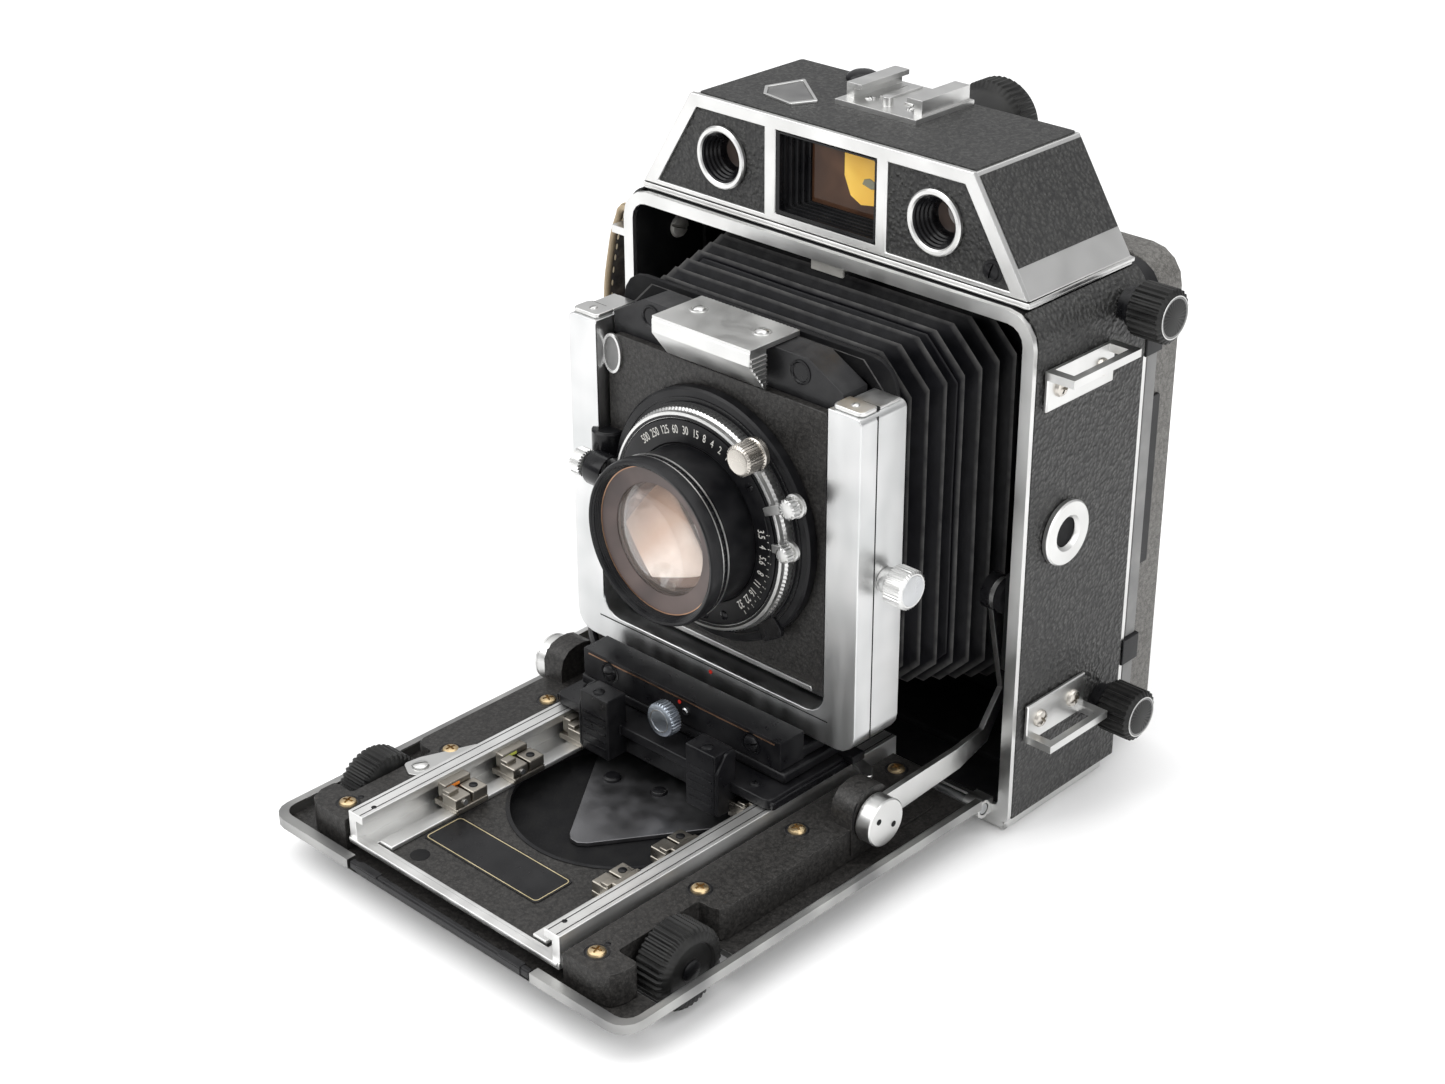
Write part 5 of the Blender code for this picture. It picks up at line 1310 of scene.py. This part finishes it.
def dress_strap():
    """Leather hand strap with raised edges and a row of stitches along each side."""
    path = smooth_path(strap_path(), 7)
    shape = bmesh.new()
    wear = shape.verts.layers.float.new("wear")
    section = [(-10.4, 0.35), (-9.9, 0.9), (-8.8, 1.05), (-8.1, 0.8), (-4, 0.95), (0, 1.05), (4, 0.95),
        (8.1, 0.8), (8.8, 1.05), (9.9, 0.9), (10.4, 0.35), (10.4, -0.35), (9.9, -0.9), (8.8, -1.0),
        (0, -0.9), (-8.8, -1.0), (-9.9, -0.9), (-10.4, -0.35)]
    rings = []
    edges = []
    for index, (x, z) in enumerate(path):
        before = path[max(index - 1, 0)]
        after = path[min(index + 1, len(path) - 1)]
        along = Vector((after[0] - before[0], after[1] - before[1])).normalized()
        normal = Vector((-along.y, along.x))
        if normal.x > 0 and 20 < index < len(path) - 20:
            normal = -normal
        outward = Vector((along.y, -along.x))
        sway = 0.35 * math.sin(index * 0.21) + 0.15 * math.sin(index * 0.67)
        ring = []
        for across, lift in section:
            place = Vector((x, z)) + outward * -lift
            vertex = shape.verts.new((place.x * MM, (STRAP_Y + across + sway) * MM, place.y * MM))
            vertex[wear] = 1.0 if abs(across) > 9.5 else 0.0
            ring.append(vertex)
        rings.append(ring)
        edges.append((Vector((x, z)), outward, along, sway))
    for first, second in zip(rings, rings[1:]):
        for side in range(len(section)):
            after = (side + 1) % len(section)
            shape.faces.new((first[side], first[after], second[after], second[side]))
    shape.faces.new(rings[0])
    shape.faces.new(rings[-1])
    strap = place_object("hand_strap_leather", to_mesh(shape, "hand_strap_leather", math.radians(60)),
        STRAP, "camera_body")
    strap.modifiers.new("smooth", "SUBSURF").render_levels = 1
    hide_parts("hand_strap")
    stitches = bmesh.new()
    for place, outward, along, sway in edges[::2]:
        for across in (-8.5, 8.5):
            for lift in (-1.15, 1.05):
                middle = place + outward * lift
                turn = Matrix.Rotation(math.atan2(along.x, along.y), 4, "Y")
                spot = Matrix.Translation(Vector((middle.x, STRAP_Y + across + sway,
                    middle.y)) * MM) @ turn
                bmesh.ops.create_uvsphere(stitches, u_segments=8, v_segments=5, radius=1.0,
                    matrix=spot @ Matrix.Diagonal((0.3 * MM, 0.28 * MM, 1.0 * MM, 1)))
    place_object("hand_strap_stitches", to_mesh(stitches, "hand_strap_stitches"), THREAD, "camera_body")
    for z in (118.0, 48.0):
        block("strap_keeper_%d" % z, (-77.0, -73.6), (-14.5, 4.5), (z - 2.6, z + 2.6), STRAP,
            "camera_body", 0.6)


def light(name, place, size, energy):
    """A large soft square lamp at a place in millimetres, aimed at the object's middle."""
    lamp = bpy.data.lights.new(name, "AREA")
    lamp.shape = "RECTANGLE"
    lamp.size = lamp.size_y = size * MM
    lamp.energy = energy
    made = bpy.data.objects.new(name, lamp)
    bpy.context.scene.collection.objects.link(made)
    made.location = Vector(place) * MM
    made.rotation_mode = "QUATERNION"
    made.rotation_quaternion = (Vector(OBJECT_MIDDLE) - Vector(place)).to_track_quat("-Z", "Y")


LAMPS = (("key", (-600, -900, 1100), 1300, 13.0), ("top", (150, 100, 1300), 1400, 9.0),
         ("side", (1200, -250, 500), 1000, 6.0))
CAMERA_LENS = 61.95
CAMERA_PLACE = Matrix(((0.72334210, -0.31484666, 0.61453054, 0.40039),
                       (0.69047258, 0.33610804, -0.64053025, -0.47629),
                       (-0.00487984, 0.88763888, 0.46051409, 0.37759),
                       (0, 0, 0, 1)))


def set_stage():
    """Pale floor, white surroundings, soft lamps and the camera."""
    shape = bmesh.new()
    bmesh.ops.create_grid(shape, x_segments=1, y_segments=1, size=6.0)
    floor_look = Look("pale_floor", roughness=0.9)
    floor_look.colour(floor_look.ramp(floor_look.noise(400.0), (0.3, 0.93), (0.7, 0.95)))
    floor = place_object("floor", to_mesh(shape, "floor"), floor_look.made, None)
    floor.location.z = -0.0002
    world = bpy.data.worlds.new("studio")
    world.use_nodes = True
    tree = world.node_tree
    direction = tree.nodes.new("ShaderNodeTexCoord")
    split = tree.nodes.new("ShaderNodeSeparateXYZ")
    sky = tree.nodes.new("ShaderNodeValToRGB")
    tree.links.new(direction.outputs["Generated"], split.inputs["Vector"])
    tree.links.new(split.outputs["Z"], sky.inputs["Fac"])
    tree.links.new(sky.outputs["Color"], tree.nodes["Background"].inputs["Color"])
    sky.color_ramp.elements[0].color = (0.34, 0.34, 0.35, 1)
    sky.color_ramp.elements[1].position = 0.75
    sky.color_ramp.elements[1].color = (1, 1, 1, 1)
    tree.nodes["Background"].inputs["Strength"].default_value = 0.95
    bpy.context.scene.world = world
    for name, place, size, energy in LAMPS:
        light(name, place, size, energy)
    camera = bpy.data.cameras.new("camera")
    camera.lens = CAMERA_LENS
    camera.sensor_width = 36.0
    camera.clip_start = 0.01
    camera.clip_end = 50.0
    made = bpy.data.objects.new("camera", camera)
    bpy.context.scene.collection.objects.link(made)
    made.matrix_world = CAMERA_PLACE
    bpy.context.scene.camera = made
    bpy.context.scene.view_settings.view_transform = "Standard"


dress_body()
dress_housing()
dress_back()
dress_bed()
dress_focusing()
dress_standard()
dress_lens()
dress_bellows()
dress_strap()
set_stage()
